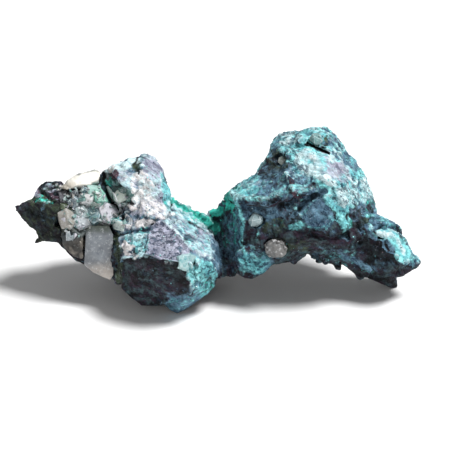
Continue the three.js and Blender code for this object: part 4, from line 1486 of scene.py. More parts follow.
# Ridges and grooves of the show face, with their heights and depths in millimetres.
RELIEF: tuple[Stroke | Plate, ...] = strokes(
    (WING_CRACK, 0.5, -0.5), (NODULE_SEAM, 0.4, -0.4),
    (((-32.6, 18.6), (-30.8, 18.3), (-29.1, 18.3)), 0.5, 0.25),
    (((-16.6, 8.8), (-13.3, 9.6), (-10.5, 8.6), (-7.6, 8.2), (-6.1, 6.9)), 0.9, 0.4),
    (((-6.1, 6.9), (-5.2, 4.0), (-4.8, 2.2)), 0.8, 0.3),
    (((-12.9, 9.6), (-12.5, 13.6), (-11.4, 15.2), (-9.6, 15.6)), 0.6, 0.25),
    (((-9.6, 15.6), (-7.2, 13.2), (-5.9, 11.0), (-6.8, 9.4)), 0.6, 0.3),
    (((-18.2, 24.6), (-16.2, 23.0), (-15.0, 20.6), (-14.9, 18.4)), 0.7, 0.35), (CREVICE, 0.8, -0.6),
    (CREVICE_FOOT, 0.7, -0.5), (((-18.9, 13.8), (-18.6, 10.5), (-18.3, 7.0)), 0.6, -0.5),
    (CLUSTER_LEDGE, 0.5, -0.35), (((-17.2, 8.6), (-16.6, 6.0), (-16.0, 3.6)), 0.6, -0.3),
    (((-2.6, 14.0), (-1.9, 10.6), (-1.6, 7.4)), 0.7, 0.3),
    (((2.6, 20.4), (4.4, 19.6), (6.4, 19.5), (8.4, 19.7), (10.6, 20.6)), 0.9, 0.5), (BROW_SHADE, 1.0, -0.5),
    (LOBE_EDGE, 0.6, 0.35), (BELLY_RIB, 0.5, 0.25), (((1.4, 18.4), (2.0, 14.6), (1.6, 10.4)), 0.8, -0.5),
    (((13.4, 26.1), (15.8, 24.4), (18.7, 22.9), (20.7, 21.2)), 0.9, 0.4),
    (((20.7, 21.2), (21.6, 18.0), (21.3, 15.6)), 0.9, 0.35),
    (((13.4, 20.4), (16.0, 21.6), (18.6, 22.0)), 0.6, 0.35), (BAND_SHADE, 0.7, -0.7),
    (((13.2, 16.8), (14.4, 15.4), (16.2, 14.7), (18.0, 14.9), (19.2, 16.6)), 0.45, 0.3),
    (((11.0, 14.5), (13.0, 15.3), (14.6, 15.2)), 0.5, 0.35),
    (((15.0, 12.2), (18.0, 12.4), (21.0, 12.0), (23.6, 10.6)), 0.8, 0.3),
) + (Plate(RIM_FACE, 0.9, 0.5), Plate(HOLLOW_FACE, 0.9, -0.8)) + strokes(
    (((27.2, 14.4), (28.6, 14.9), (30.4, 14.5), (32.0, 13.2)), 0.5, -0.4),
    (((23.1, 16.8), (24.4, 14.6), (25.6, 12.6)), 0.7, -0.6),
    (((25.2, 17.4), (26.4, 15.6), (27.6, 14.6)), 0.5, -0.35),
    (((11.6, 24.2), (12.6, 22.4), (12.8, 20.4)), 0.6, 0.35),
    (((8.2, 28.2), (9.6, 26.0), (11.4, 25.4)), 0.7, -0.4),
)


@dataclass
class CopperMass:
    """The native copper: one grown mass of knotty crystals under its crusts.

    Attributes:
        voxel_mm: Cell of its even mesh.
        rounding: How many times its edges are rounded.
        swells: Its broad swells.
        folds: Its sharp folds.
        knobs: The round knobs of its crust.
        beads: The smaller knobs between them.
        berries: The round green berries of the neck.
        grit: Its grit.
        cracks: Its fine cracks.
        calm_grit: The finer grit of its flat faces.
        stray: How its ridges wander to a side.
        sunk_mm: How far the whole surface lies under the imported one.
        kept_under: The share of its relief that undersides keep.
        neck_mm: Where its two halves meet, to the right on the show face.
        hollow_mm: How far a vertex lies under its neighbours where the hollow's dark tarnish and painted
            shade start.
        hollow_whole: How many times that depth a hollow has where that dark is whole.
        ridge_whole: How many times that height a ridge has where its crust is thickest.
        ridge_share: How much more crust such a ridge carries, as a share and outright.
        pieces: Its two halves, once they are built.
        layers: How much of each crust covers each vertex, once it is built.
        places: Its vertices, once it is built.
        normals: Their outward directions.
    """

    voxel_mm: float = 0.22
    rounding: int = 4
    swells: Wave = Wave(0.24, 3.8)
    folds: Wave = Wave(0.26, 2.6)
    knobs: Wave = Wave(0.18, 1.3)
    beads: Wave = Wave(0.09, 0.62)
    berries: Wave = Wave(0.3, 0.95)
    grit: Wave = Wave(0.16, 0.9)
    cracks: Wave = Wave(0.22, 4.2)
    calm_grit: Wave = Wave(0.05, 0.6)
    stray: Wave = Wave(0.25, 1.4)
    sunk_mm: float = 0.05
    kept_under: float = 0.4
    neck_mm: float = -0.9
    hollow_mm: float = 0.01
    hollow_whole: float = 7.0
    ridge_whole: float = 6.0
    ridge_share: tuple[float, float] = (0.5, 0.12)
    pieces: list[Object] = field(default_factory=list)
    layers: dict[str, np.ndarray] = field(default_factory=dict)
    places: np.ndarray | None = None
    normals: np.ndarray | None = None

    def relief(
        self, points_mm: np.ndarray, facing: np.ndarray, layers: dict[str, np.ndarray]
    ) -> np.ndarray:
        """Works out how far the surface stands out at each point.

        Args:
            points_mm: The points in show-face millimetres.
            facing: Their outward directions, in the show face's axes.
            layers: How much of each crust covers them.

        Returns:
            Heights in millimetres.
        """
        # Each use of a field takes a stretch of its own, so the points are moved on for it.
        rolling, scatter, fine = NoiseField(21), NoiseField(22), NoiseField(23)
        across, up = seen(points_mm)
        calm = strongest(CALM, across, up)
        crust = np.clip(layers["turquoise"] + layers["pale"] + 0.3 * layers["white"], 0.0, 1.0)
        folds = 1.0 - 2.2 * np.abs(rolling.fractal(points_mm + 11.0, self.folds.size, 3))
        height = self.swells.height * rolling.fractal(points_mm, self.swells.size, 2)
        height += self.folds.height * folds
        away, level = scatter.cells(points_mm, self.knobs.size)
        height += self.knobs.height * crust * (0.4 + level) * (1.0 - rising(0.1, 0.75, away))
        away, level = scatter.cells(points_mm + 5.0, self.beads.size)
        height += self.beads.height * (0.4 + crust) * level * (1.0 - rising(0.1, 0.8, away))
        away, level = scatter.cells(points_mm + 9.0, self.berries.size)
        berries = rising(0.5, 0.9, layers["emerald"]) * (0.5 + level)
        height += self.berries.height * berries * (1.0 - rising(0.15, 0.7, away))
        height += self.grit.height * fine.fractal(points_mm, self.grit.size, 2)
        vein = np.abs(rolling.fractal(points_mm + 31.0, self.cracks.size, 2))
        height -= self.cracks.height * (1.0 - rising(0.0, 0.09, vein))
        height -= height.mean() + self.sunk_mm
        height *= 1.0 - calm
        grit = fine.fractal(points_mm + 9.0, self.calm_grit.size, 2)
        height += self.calm_grit.height * calm * grit
        stray = self.stray
        across = across + stray.height * rolling.fractal(points_mm + 50.0, stray.size, 2)
        up = up + stray.height * rolling.fractal(points_mm + 70.0, stray.size, 2)
        height *= self.kept_under + (1.0 - self.kept_under) * rising(-0.8, -0.1, facing[:, 2])
        facing_eye = rising(0.0, 0.4, -facing[:, 1])
        for stroke in RELIEF:
            height += facing_eye * stroke.weight(across, up)
        return height

    def build(self, material: Material) -> None:
        """Builds the mass and dresses it.

        Args:
            material: The crusted copper.
        """
        whole = remeshed("copper", COPPER_NODE, self.voxel_mm, self.rounding, SEAM_FILLS)
        self.cut_slot(whole)
        mesh = whole.data
        places = vertex_places(mesh)
        normals = vertex_normals(mesh)
        points_mm = on_show_face(places)
        facing = on_show_face(places + normals * MM) - points_mm
        self.layers = crust_layers(points_mm, facing)
        height = self.relief(points_mm, facing, self.layers)
        stand = np.clip((height + self.sunk_mm) / self.folds.height, -1.0, 1.0)
        for cover, finish in CRUSTS.items():
            self.layers[cover.value] *= 1.0 + finish.on_heights * stand
        above_floor = rising(0.0, 0.6, places[:, 2] / MM)
        moved = places + normals * (height * above_floor * MM)[:, None]
        moved[:, 2] = np.maximum(moved[:, 2], 0.0)
        move_vertices(mesh, moved)
        ends = read_rows(mesh.edges, "vertices", np.int32, 2)
        mean = neighbour_mean(moved, ends)
        bend = ((mean - moved) * vertex_normals(mesh)).sum(axis=1) / MM
        wide = neighbour_mean(neighbour_mean(bend, ends), ends)
        # How concave each vertex is, for the hollows' dark tarnish and painted shade.
        self.layers["hollow"] = rising(self.hollow_mm, self.hollow_whole * self.hollow_mm, wide)
        ridge = rising(self.hollow_mm, self.ridge_whole * self.hollow_mm, -wide)
        share, outright = self.ridge_share
        for cover in (Cover.TURQUOISE, Cover.PALE):
            lifted = self.layers[cover.value] * (1.0 + share * ridge) + outright * ridge
            self.layers[cover.value] = np.clip(lifted, 0.0, 1.0)
        for name, values in self.layers.items():
            store_layer(mesh, name, values)
        mesh.materials.append(material)
        self.places, self.normals = moved, vertex_normals(mesh)
        store_layer(mesh, "whole_normal", self.normals)
        for name, left in (("copper_left", True), ("copper_right", False)):
            half = self.half(mesh, name, left)
            settled(half, COPPER_SLOT, COPPER_NODE)
            self.pieces.append(half)
        bpy.data.objects.remove(whole)

    def cut_slot(self, whole: Object) -> None:
        """Cuts the open slot into the crown of the mass.

        Args:
            whole: The mass, before it is dressed.
        """
        wedge = hull_piece("slot_wedge", SLOT)
        cut = whole.modifiers.new("slot", "BOOLEAN")
        cut.operation = "DIFFERENCE"
        cut.solver = "MANIFOLD"
        cut.object = wedge
        opened = as_shaped(whole)
        whole.modifiers.clear()
        opened.materials.clear()
        whole.data = opened
        bpy.data.objects.remove(wedge)

    def half(self, mesh: Mesh, name: str, left: bool) -> Object:
        """Takes one half of the mass, with the whole's normals, so that no seam shows.

        Args:
            mesh: The whole mass.
            name: The half's name.
            left: Whether it is the half left of the neck.

        Returns:
            The half.
        """
        neck = (self.neck_mm + ORIGIN_MM[0]) * MM
        solid = bmesh.new()
        solid.from_mesh(mesh)
        spare = [one for one in solid.faces if (one.calc_center_median().x < neck) != left]
        bmesh.ops.delete(solid, geom=spare, context="FACES")
        part = bpy.data.meshes.new(name)
        solid.to_mesh(part)
        solid.free()
        part.materials.append(mesh.materials[0])
        layer = part.attributes["whole_normal"]
        normals = read_rows(layer.data, "vector", np.float32, 3)
        part.attributes.remove(layer)
        part.normals_split_custom_set_from_vertices(normals.tolist())
        return linked_object(name, part)


# ---- calcite


# The ground the calcite crystals stand in, as bodies given by their corners on the show face.
GROUND_BODIES: dict[str, tuple[Point, ...]] = {
    "ground_mass": (
        (-27.6, -2.2, 19.8), (-25.4, -2.2, 21.6), (-21.0, -2.4, 21.8), (-20.2, -3.2, 18.0),
        (-18.8, -3.8, 16.0), (-19.8, -3.4, 13.0), (-25.0, -3.4, 13.2), (-27.8, -3.0, 15.2),
        (-26.2, 1.8, 20.0), (-21.4, 1.8, 20.6), (-20.2, 1.8, 14.0), (-26.2, 1.8, 14.6),
    ),
    "block_core": (
        (-23.2, -2.2, 14.6), (-19.6, -2.6, 14.8), (-19.4, -2.0, 8.0), (-22.8, -1.6, 9.0),
        (-23.2, 1.4, 13.8), (-19.6, 1.6, 13.8), (-19.6, 0.8, 7.6), (-22.6, 0.8, 9.0),
    ),
    "white_cap": (
        (-27.8, -2.0, 21.6), (-26.6, -2.8, 22.8), (-24.4, -3.2, 24.0), (-22.0, -2.8, 24.6),
        (-20.9, -2.0, 24.2), (-21.1, -2.8, 22.4), (-23.4, -3.8, 21.6), (-26.2, -3.4, 21.2),
        (-26.6, 1.6, 22.6), (-21.6, 1.8, 24.5), (-22.0, 1.8, 21.4), (-26.4, 1.6, 20.8),
    ),
    "mint_slope": (
        (-23.0, -3.4, 21.4), (-20.8, -3.2, 22.0), (-19.4, -4.0, 19.2), (-20.2, -4.8, 18.4),
        (-22.6, -4.4, 18.8), (-22.0, 0.0, 21.0), (-20.6, 0.0, 19.0),
    ),
    "pocket_floor": (
        (-18.6, -3.3, 21.8), (-16.4, -4.1, 22.0), (-15.2, -4.0, 20.6), (-15.5, -3.7, 18.6),
        (-17.2, -3.2, 18.1), (-18.2, -2.9, 18.7), (-19.0, -2.8, 20.6), (-18.4, 0.5, 21.2),
        (-16.0, 0.5, 21.2), (-16.0, 0.5, 18.8), (-18.2, 0.5, 18.8),
    ),
    "side_rock": (
        (-27.9, -3.0, 14.8), (-26.0, -4.3, 15.0), (-23.8, -4.5, 13.0), (-23.8, -3.7, 9.2),
        (-25.6, -2.8, 9.6), (-27.4, -2.2, 11.6), (-26.4, 1.0, 13.6), (-24.0, 1.0, 10.4),
        (-23.6, 1.0, 14.0),
    ),
}

# The colours of that ground, one over the other, and the patch where each lies.
GROUND_TONES: tuple[tuple[Color, Patch], ...] = (
    (linear(40, 64, 64), Patch(-17.2, 20.2, 2.6, 2.6, 1.0)),
    (linear(98, 142, 136), Patch(-16.2, 20.2, 1.1, 1.0, 0.9)),
    (linear(170, 184, 178), Patch(-17.4, 20.2, 0.9, 0.8, 1.0)),
    (linear(176, 186, 182), Patch(-16.8, 18.6, 1.4, 0.3, 0.9)),
    (linear(16, 30, 32), Patch(-16.6, 19.1, 1.6, 0.25, 0.9)),
    (linear(52, 58, 58), Patch(-25.6, 12.6, 3.6, 3.4, 1.0)),
    (linear(96, 106, 106), Patch(-25.2, 14.0, 1.8, 0.9, 0.8)),
    (linear(52, 58, 62), Patch(-26.4, 12.6, 1.3, 1.0, 0.8)),
    (linear(70, 66, 62), Patch(-25.2, 10.4, 2.4, 2.2, 1.0)),
    (linear(44, 44, 42), Patch(-25.6, 11.4, 1.6, 0.5, 0.8, -38)),
    (linear(112, 106, 98), Patch(-25.8, 10.6, 0.9, 0.3, 0.7, -38)),
    (linear(36, 36, 36), Patch(-24.6, 9.6, 0.5, 0.9, 0.7, -20)),
    (linear(128, 122, 114), Patch(-24.0, 12.0, 0.5, 0.7, 0.8)),
    # The next two dark tones are painted shade in the crevice under the white cap.
    (linear(18, 26, 24), Patch(-26.4, 21.3, 2.2, 0.3, 0.9, -2)),
    (linear(16, 24, 24), Patch(-24.2, 21.5, 0.8, 0.7, 1.0)),
    (linear(58, 62, 58), Patch(-26.8, 14.4, 1.6, 1.2, 0.8)),
    (linear(70, 76, 78), Patch(-27.0, 19.6, 1.6, 1.8, 0.9)),
    (linear(120, 176, 160), Patch(-21.3, 19.8, 1.9, 2.2, 1.0)),
    (linear(170, 188, 186), Patch(-23.6, 17.6, 2.6, 2.0, 0.8)),
    (linear(180, 178, 194), Patch(-19.4, 17.2, 1.4, 1.8, 0.8)),
    (linear(66, 84, 84), Patch(-21.2, 17.4, 0.8, 0.9, 0.9)),
    (linear(244, 240, 230), Patch(-23.4, 23.2, 3.6, 1.0, 1.0, 12)),
    (linear(216, 208, 194), Patch(-26.6, 21.9, 1.4, 0.5, 0.8, 20)),
    (linear(124, 118, 110), Patch(-24.0, 9.2, 0.6, 0.9, 0.6)),
)


@dataclass
class CalciteGround:
    """The pale, fine-grained ground between the calcite crystals.

    Attributes:
        voxel_mm: Cell of its even mesh.
        rough: Its broken surface.
        grains: Its grains.
        stray: How its tones' borders wander.
        mottle: How its tones vary.
        smooth: Where it is smooth and even.
        base: Its colour where it has no other tone.
        piece: The ground, once it is built.
    """

    voxel_mm: float = 0.17
    rough: Wave = Wave(0.3, 1.6)
    grains: Wave = Wave(0.16, 0.7)
    stray: Wave = Wave(0.4, 1.2)
    mottle: Wave = Wave(0.9, 0.7)
    smooth: Patch = Patch(-23.4, 23.2, 3.4, 1.0, 0.7, 12)
    base: Color = linear(96, 104, 102)
    piece: Object | None = None

    def build(self, material: Material) -> None:
        """Builds the ground and colours it.

        Args:
            material: The tinted crust.
        """
        self.piece = remeshed("calcite_ground", None, self.voxel_mm, 2, GROUND_BODIES.values())
        mesh = self.piece.data
        places = vertex_places(mesh)
        normals = vertex_normals(mesh)
        points_mm = on_show_face(places)
        across, up = seen(points_mm)
        noise = NoiseField(41)
        toward_eye = rising(0.1, 0.5, -(on_show_face(places + normals * MM) - points_mm)[:, 1])
        smooth = self.smooth.weight(across, up) * toward_eye
        away, level = noise.cells(points_mm, self.grains.size)
        height = self.rough.height * noise.fractal(points_mm, self.rough.size, 3)
        height += self.grains.height * level * (1.0 - rising(0.1, 0.8, away))
        move_vertices(mesh, places + normals * (height * (1.0 - smooth) * MM)[:, None])
        across = across + self.stray.height * noise.fractal(points_mm + 7.0, self.stray.size, 2)
        up = up + self.stray.height * noise.fractal(points_mm + 19.0, self.stray.size, 2)
        colors = np.tile(np.array(self.base), (len(points_mm), 1))
        for tone, patch in GROUND_TONES:
            share = patch.weight(across, up)[:, None]
            colors = colors * (1.0 - share) + np.array(tone) * share
        mottle = self.mottle.height * noise.fractal(points_mm, self.mottle.size, 4)
        colors[:, :3] *= (1.0 + mottle * (1.0 - 0.9 * smooth))[:, None]
        store_tint(mesh, np.clip(colors, 0.0, 1.0))
        mesh.materials.append(material)
        settled(self.piece, CALCITE_SLOT, MATRIX_NODE)


class Seats:
    """Finds where a crystal sits on the pieces already built."""

    def __init__(self, *pieces: Object) -> None:
        """Gathers the pieces' surfaces in show-face millimetres.

        Args:
            pieces: What a crystal may sit on.
        """
        corners: list[Vector] = []
        faces: list[tuple[int, ...]] = []
        for piece in pieces:
            first = len(corners)
            corners += [Vector(one) for one in on_show_face(vertex_places(piece.data))]
            faces += [tuple(first + k for k in one.vertices) for one in piece.data.polygons]
        self._tree = BVHTree.FromPolygons(corners, faces)

    def at(self, across: float, up: float) -> Vector:
        """Gives the surface point that appears at a place of the show face.

        Args:
            across: How far right it appears, in millimetres.
            up: How far up it appears.

        Returns:
            The point in show-face millimetres.

        Raises:
            ValueError: If nothing is there.
        """
        eye = Vector(EYE_MM)
        hit = self._tree.ray_cast(eye, Vector((across, 0.0, up)) - eye)[0]
        if hit is None:
            raise ValueError(f"nothing to sit on at {across}, {up}")
        return hit


@dataclass(frozen=True)
class Crystal:
    """One crystal that stands up from what it grew on.

    Attributes:
        proud: How far its face stands out, in millimetres.
        tilt: How much further its right and its upper side stand out, as shares of that.
        tint: What tints it.
        outline: Its corners on the show face, in millimetres.
    """

    proud: float
    tilt: tuple[float, float]
    tint: Shade
    outline: tuple[Spot, ...]


CRYSTALS: dict[Clarity, tuple[Crystal, ...]] = {
    Clarity.CLEAR: (
        Crystal(0.9, (0.1, 0.3), (176, 190, 202), (
            (-26.7, 19.4), (-25.5, 20.2), (-24.4, 19.5), (-24.7, 18.3), (-25.7, 17.8), (-26.5, 18.6))),
        Crystal(0.5, (0.0, 0.0), (120, 160, 174), (
            (-24.2, 21.2), (-23.6, 21.6), (-23.0, 21.2), (-23.2, 20.3), (-24.0, 20.1))),
        Crystal(0.7, (0.2, 0.0), (190, 204, 196), (
            (-22.8, 18.8), (-22.0, 19.2), (-21.3, 18.7), (-21.7, 18.0), (-22.6, 18.1))),
        Crystal(0.7, (0.0, 0.3), (196, 210, 202), (
            (-21.5, 18.8), (-20.8, 18.9), (-20.7, 18.0), (-21.4, 17.8))),
        Crystal(1.0, (0.2, -0.2), (160, 192, 200), (
            (-23.2, 17.8), (-21.5, 18.1), (-20.7, 17.3), (-20.9, 15.8), (-22.0, 15.1), (-23.1, 15.9))),
        Crystal(0.6, (0.0, 0.0), (96, 160, 156), (
            (-19.4, 16.2), (-18.3, 16.9), (-17.6, 16.1), (-18.3, 15.1), (-19.1, 15.3))),
        Crystal(0.7, (0.0, 0.2), (200, 208, 216), (
            (-27.0, 13.7), (-26.2, 13.9), (-26.0, 12.6), (-26.8, 12.4))),
        Crystal(0.6, (0.0, 0.2), (140, 148, 158), (
            (-26.3, 21.0), (-25.0, 21.2), (-24.6, 20.2), (-25.6, 20.0))),
        Crystal(0.4, (-0.3, 0.2), (120, 164, 160), (
            (-16.2, 21.5), (-15.4, 21.2), (-15.0, 20.3), (-15.9, 20.0))),
    ),
    Clarity.MILKY: (
        Crystal(0.7, (0.3, 0.2), (186, 226, 216), (
            (-23.2, 21.8), (-21.6, 21.9), (-20.7, 20.8), (-21.4, 19.4), (-22.7, 19.7), (-23.1, 20.8))),
        Crystal(0.9, (-0.3, 0.1), (130, 196, 176), (
            (-21.8, 21.6), (-20.4, 20.9), (-19.5, 18.9), (-20.6, 18.1), (-21.8, 19.0), (-22.0, 20.2))),
        Crystal(0.95, (0.2, 0.2), (226, 246, 246), (
            (-25.3, 18.0), (-23.9, 18.5), (-23.0, 18.0), (-23.0, 16.5), (-24.0, 16.0), (-25.1, 16.8))),
        Crystal(0.7, (0.2, 0.3), (232, 240, 244), (
            (-25.9, 17.0), (-24.5, 16.7), (-22.9, 16.3), (-22.6, 15.0), (-24.2, 14.3), (-25.8, 14.8))),
        Crystal(0.6, (0.2, 0.0), (112, 112, 118), (
            (-28.1, 20.8), (-26.8, 21.2), (-26.4, 20.0), (-27.0, 18.8), (-27.9, 19.3))),
        Crystal(0.5, (-0.2, 0.0), (84, 98, 72), (
            (-27.9, 18.9), (-26.6, 18.7), (-25.5, 17.7), (-26.6, 17.2), (-27.7, 17.9))),
        Crystal(0.35, (0.0, 0.4), (70, 104, 100), (
            (-17.7, 21.5), (-16.8, 21.8), (-16.2, 21.0), (-17.0, 20.4), (-17.6, 20.8))),
        Crystal(0.35, (0.0, 0.3), (160, 200, 196), (
            (-17.8, 18.8), (-16.3, 18.9), (-16.0, 18.1), (-17.7, 18.0))),
    ),
    Clarity.CHALKY: (
        Crystal(1.0, (0.1, -0.2), (238, 239, 242), (
            (-24.3, 20.5), (-23.2, 21.0), (-22.2, 20.6), (-22.2, 19.4), (-23.0, 18.6), (-24.2, 18.8),
            (-24.5, 19.6))),
        Crystal(1.1, (-0.2, 0.2), (214, 214, 224), (
            (-21.1, 18.1), (-19.8, 18.8), (-18.6, 18.2), (-17.8, 17.1), (-18.6, 16.0), (-19.5, 15.0),
            (-20.7, 15.8), (-20.9, 17.0))),
        Crystal(0.8, (0.3, 0.1), (166, 164, 158), (
            (-28.1, 17.0), (-26.9, 17.6), (-25.7, 17.2), (-25.4, 15.6), (-26.2, 14.4), (-27.6, 14.6),
            (-28.1, 15.8))),
        Crystal(0.7, (0.0, 0.2), (190, 186, 176), (
            (-24.6, 12.2), (-23.5, 12.6), (-23.3, 11.6), (-24.0, 11.1))),
        Crystal(0.9, (0.4, -0.3), (240, 243, 248), (
            (-20.0, 21.6), (-19.4, 21.8), (-18.4, 20.4), (-17.9, 19.2), (-18.7, 19.2), (-19.4, 20.3))),
        Crystal(0.45, (-0.1, -0.3), (206, 220, 212), (
            (-18.8, 20.1), (-18.0, 20.9), (-16.8, 20.9), (-16.5, 19.6), (-17.7, 19.0), (-18.5, 19.3))),
        Crystal(0.5, (0.0, 0.2), (248, 240, 240), (
            (-16.1, 18.6), (-15.2, 18.9), (-14.5, 18.0), (-15.6, 17.6))),
        Crystal(0.7, (0.0, 0.3), (206, 222, 218), (
            (-18.8, 15.1), (-17.7, 15.8), (-16.6, 15.2), (-17.1, 14.0), (-18.4, 14.3))),
    ),
}

# Where the broken crumbs lie, and what tints them.
CLUSTER: tuple[Spot, ...] = (
    (-27.8, 21.2), (-23.6, 21.9), (-20.9, 21.9), (-19.6, 19.4), (-18.0, 20.6), (-15.6, 19.8),
    (-15.2, 17.6), (-15.6, 14.2), (-18.8, 14.0), (-19.4, 15.4), (-23.0, 15.2), (-23.8, 13.0),
    (-25.8, 12.8), (-27.4, 14.4),
)
CRUMB_TINTS: tuple[Shade, ...] = (
    (240, 244, 246), (206, 224, 220), (166, 180, 184), (130, 174, 168), (186, 184, 180), (226, 224, 232),
)

# The big cleaved block, by its corners on the show face.
BLOCK: tuple[Point, ...] = (
    (-23.2, -4.6, 14.1), (-22.6, -5.0, 14.9), (-19.2, -5.2, 14.9), (-18.5, -5.0, 13.4),
    (-18.5, -3.9, 6.4), (-19.1, -2.8, 5.5), (-20.6, -2.6, 6.1), (-22.0, -2.6, 6.8),
    (-23.6, -3.0, 8.1), (-23.3, -4.2, 11.6), (-23.2, 0.4, 14.0), (-19.4, 0.4, 14.2),
    (-19.4, 0.2, 7.2), (-22.8, 0.2, 8.8),
)

# The turquoise-stained crystal that sits on the ridge of the left lobe.
FLAKE: tuple[Spot, ...] = (
    (-7.4, 9.4), (-6.6, 9.9), (-5.2, 10.0), (-4.2, 9.4), (-4.5, 8.2), (-5.5, 7.0), (-7.1, 7.8),
)


@dataclass
class CalciteCrystals:
    """The crystals that stand free of the ground.

    Attributes:
        hosts: What they sit on.
        materials: The material of each clarity.
        seats: Where they sit, found from what they sit on.
        chip_mm: Width of their worn edges.
        inset: Size of their faces beside their outlines.
        crowding: How far they grow over their outlines and into each other.
        stray_mm: How far their corners stray.
        buried_mm: How deep their backs reach at most.
        crumbs: How many broken crumbs lie on them.
        grey: Tint of the block.
        mossy: Tint of its upper edge.
        cream: Tint of its foot.
        foot_mm: Heights between which that tint fades out.
        head_mm: Heights between which its upper edge begins.
        head_stray: How that edge wanders.
        veins: How the block's tint varies.
        stained: Tint of the crystal on the ridge.
    """

    hosts: list[Object]
    materials: dict[Clarity, Material]
    seats: Seats = field(init=False)
    chip_mm: float = 0.08
    inset: float = 0.74
    crowding: float = 1.14
    stray_mm: float = 0.11
    buried_mm: float = 0.9
    crumbs: int = 190
    grey: Color = linear(142, 148, 155)
    mossy: Color = linear(60, 74, 60)
    cream: Color = linear(208, 198, 188)
    foot_mm: tuple[float, float] = (7.4, 9.6)
    head_mm: tuple[float, float] = (13.1, 14.5)
    head_stray: Wave = Wave(0.5, 1.0)
    veins: Wave = Wave(0.5, 2.0)
    stained: Shade = (236, 248, 248)

    def __post_init__(self) -> None:
        """Finds the seats."""
        self.seats = Seats(*self.hosts)

    def crystal(self, crystal: Crystal, clarity: Clarity, name: str) -> Object:
        """Builds one crystal, with its edges worn and its tint stored.

        Args:
            crystal: Its outline and tint.
            clarity: How clear it is.
            name: Its name.

        Returns:
            The crystal as an object of its own.
        """
        outline = np.array(crystal.outline)
        middle = outline.mean(axis=0)
        draw = np.random.default_rng(int(abs(1000 * middle[0] + 100 * middle[1])))
        outline = middle + self.crowding * (outline - middle)
        outline = outline + draw.normal(scale=self.stray_mm, size=outline.shape)
        reach = np.abs(outline - middle).max(axis=0)
        corners: list[Point] = []
        for across, up in outline:
            seat = self.seats.at(across, up)
            offset = np.array([across, up]) - middle
            inner = middle + self.inset * draw.uniform(0.88, 1.12) * offset
            front = self.seats.at(inner[0], inner[1])
            lean = 1.0 + (np.array(crystal.tilt) * offset / reach).sum()
            corners.append((seat.x, seat.y + min(self.buried_mm, 2.0 * crystal.proud), seat.z))
            corners.append((seat.x, seat.y - 0.35 * crystal.proud * lean, seat.z))
            corners.append((front.x, front.y - crystal.proud * lean, front.z))
        piece = hull_piece(name, corners)
        self.dress(piece, clarity)
        tint_all(piece.data, linear(*crystal.tint))
        return piece

    def dress(self, piece: Object, clarity: Clarity) -> None:
        """Gives a crystal its material and its worn, chalky edges.

        Args:
            piece: The crystal.
            clarity: How clear it is.
        """
        edge = Clarity.WORN if clarity is Clarity.CLEAR else clarity
        piece.data.materials.append(self.materials[clarity])
        piece.data.materials.append(self.materials[edge])
        wear_edges(piece, self.chip_mm)

    def build_cluster(self) -> None:
        """Builds the crystals, one piece to a clarity."""
        for clarity, kind in CRYSTALS.items():
            name = f"{clarity.value}_crystals"
            grown = [self.crystal(one, clarity, f"{name}_{at}") for at, one in enumerate(kind)]
            joined = joined_pieces(grown, name)
            settled(joined, CALCITE_SLOT, MATRIX_NODE)
            self.hosts.append(joined)
        self.seats = Seats(*self.hosts)

    def build_crumbs(self) -> None:
        """Strews broken crumbs over the seams of the cluster."""
        draw = np.random.default_rng(83)
        crumbs: list[Object] = []
        while len(crumbs) < self.crumbs:
            across, up = draw.uniform((-28.0, 9.6), (-15.2, 22.2))
            if Plate(CLUSTER, 0.1, 1.0).weight(np.array([across]), np.array([up]))[0] < 0.5:
                continue
            size = 0.12 + 0.36 * draw.random() ** 2
            angles = np.sort(draw.uniform(0.0, 2.0 * math.pi, 5))
            ring = np.stack([np.cos(angles), np.sin(angles)], axis=1) * size
            ring = ring * draw.uniform(0.7, 1.2, (5, 1)) + (across, up)
            tint = CRUMB_TINTS[draw.integers(len(CRUMB_TINTS))]
            lean = tuple(draw.uniform(-0.4, 0.4, 2))
            outline = tuple((float(x), float(z)) for x, z in ring)
            grown = Crystal(float(size * 1.3), lean, tint, outline)
            crumbs.append(self.crystal(grown, Clarity.MILKY, f"crumb_{len(crumbs)}"))
        settled(joined_pieces(crumbs, "crumbs"), CALCITE_SLOT, MATRIX_NODE)

    def build_block(self) -> None:
        """Builds the big cleaved block."""
        solid = bmesh.new()
        add_hull(solid, stood(np.array(BLOCK)))
        bmesh.ops.triangulate(solid, faces=solid.faces)
        bmesh.ops.subdivide_edges(solid, edges=solid.edges, cuts=9, use_grid_fill=True)
        piece = linked_object("cleaved_block", mesh_of(solid, "cleaved_block"))
        self.dress(piece, Clarity.MILKY)
        points_mm = on_show_face(vertex_places(piece.data))
        across, up = seen(points_mm)
        fall = up - 0.16 * (across + 18.0)
        foot = (1.0 - rising(*self.foot_mm, fall))[:, None]
        stray = self.head_stray.height * NoiseField(72).fractal(points_mm, self.head_stray.size, 2)
        head = rising(*self.head_mm, up + stray)[:, None]
        tint = np.array(self.grey) * (1.0 - foot) + np.array(self.cream) * foot
        tint = tint * (1.0 - head) + np.array(self.mossy) * head
        veins = self.veins.height * NoiseField(71).fractal(points_mm, self.veins.size, 4)
        tint[:, :3] *= (1.0 + veins)[:, None]
        store_tint(piece.data, np.clip(tint, 0.0, 1.0))
        settled(piece, CALCITE_SLOT, MATRIX_NODE)

    def build_flake(self) -> None:
        """Builds the turquoise crystal on the left lobe's ridge."""
        flake = Crystal(0.75, (0.1, 0.3), self.stained, FLAKE)
        settled(self.crystal(flake, Clarity.TURQUOISE, "ridge_crystal"), CALCITE_SLOT)


@dataclass(frozen=True)
class GrainLook:
    """How one calcite grain that is seated alone looks.

    Attributes:
        clarity: How clear it is.
        corners: How many corners it is broken to.
        tint: Its tint.
        bits: How many smaller crystals have grown out of it.
    """

    clarity: Clarity
    corners: int
    tint: Color
    bits: int


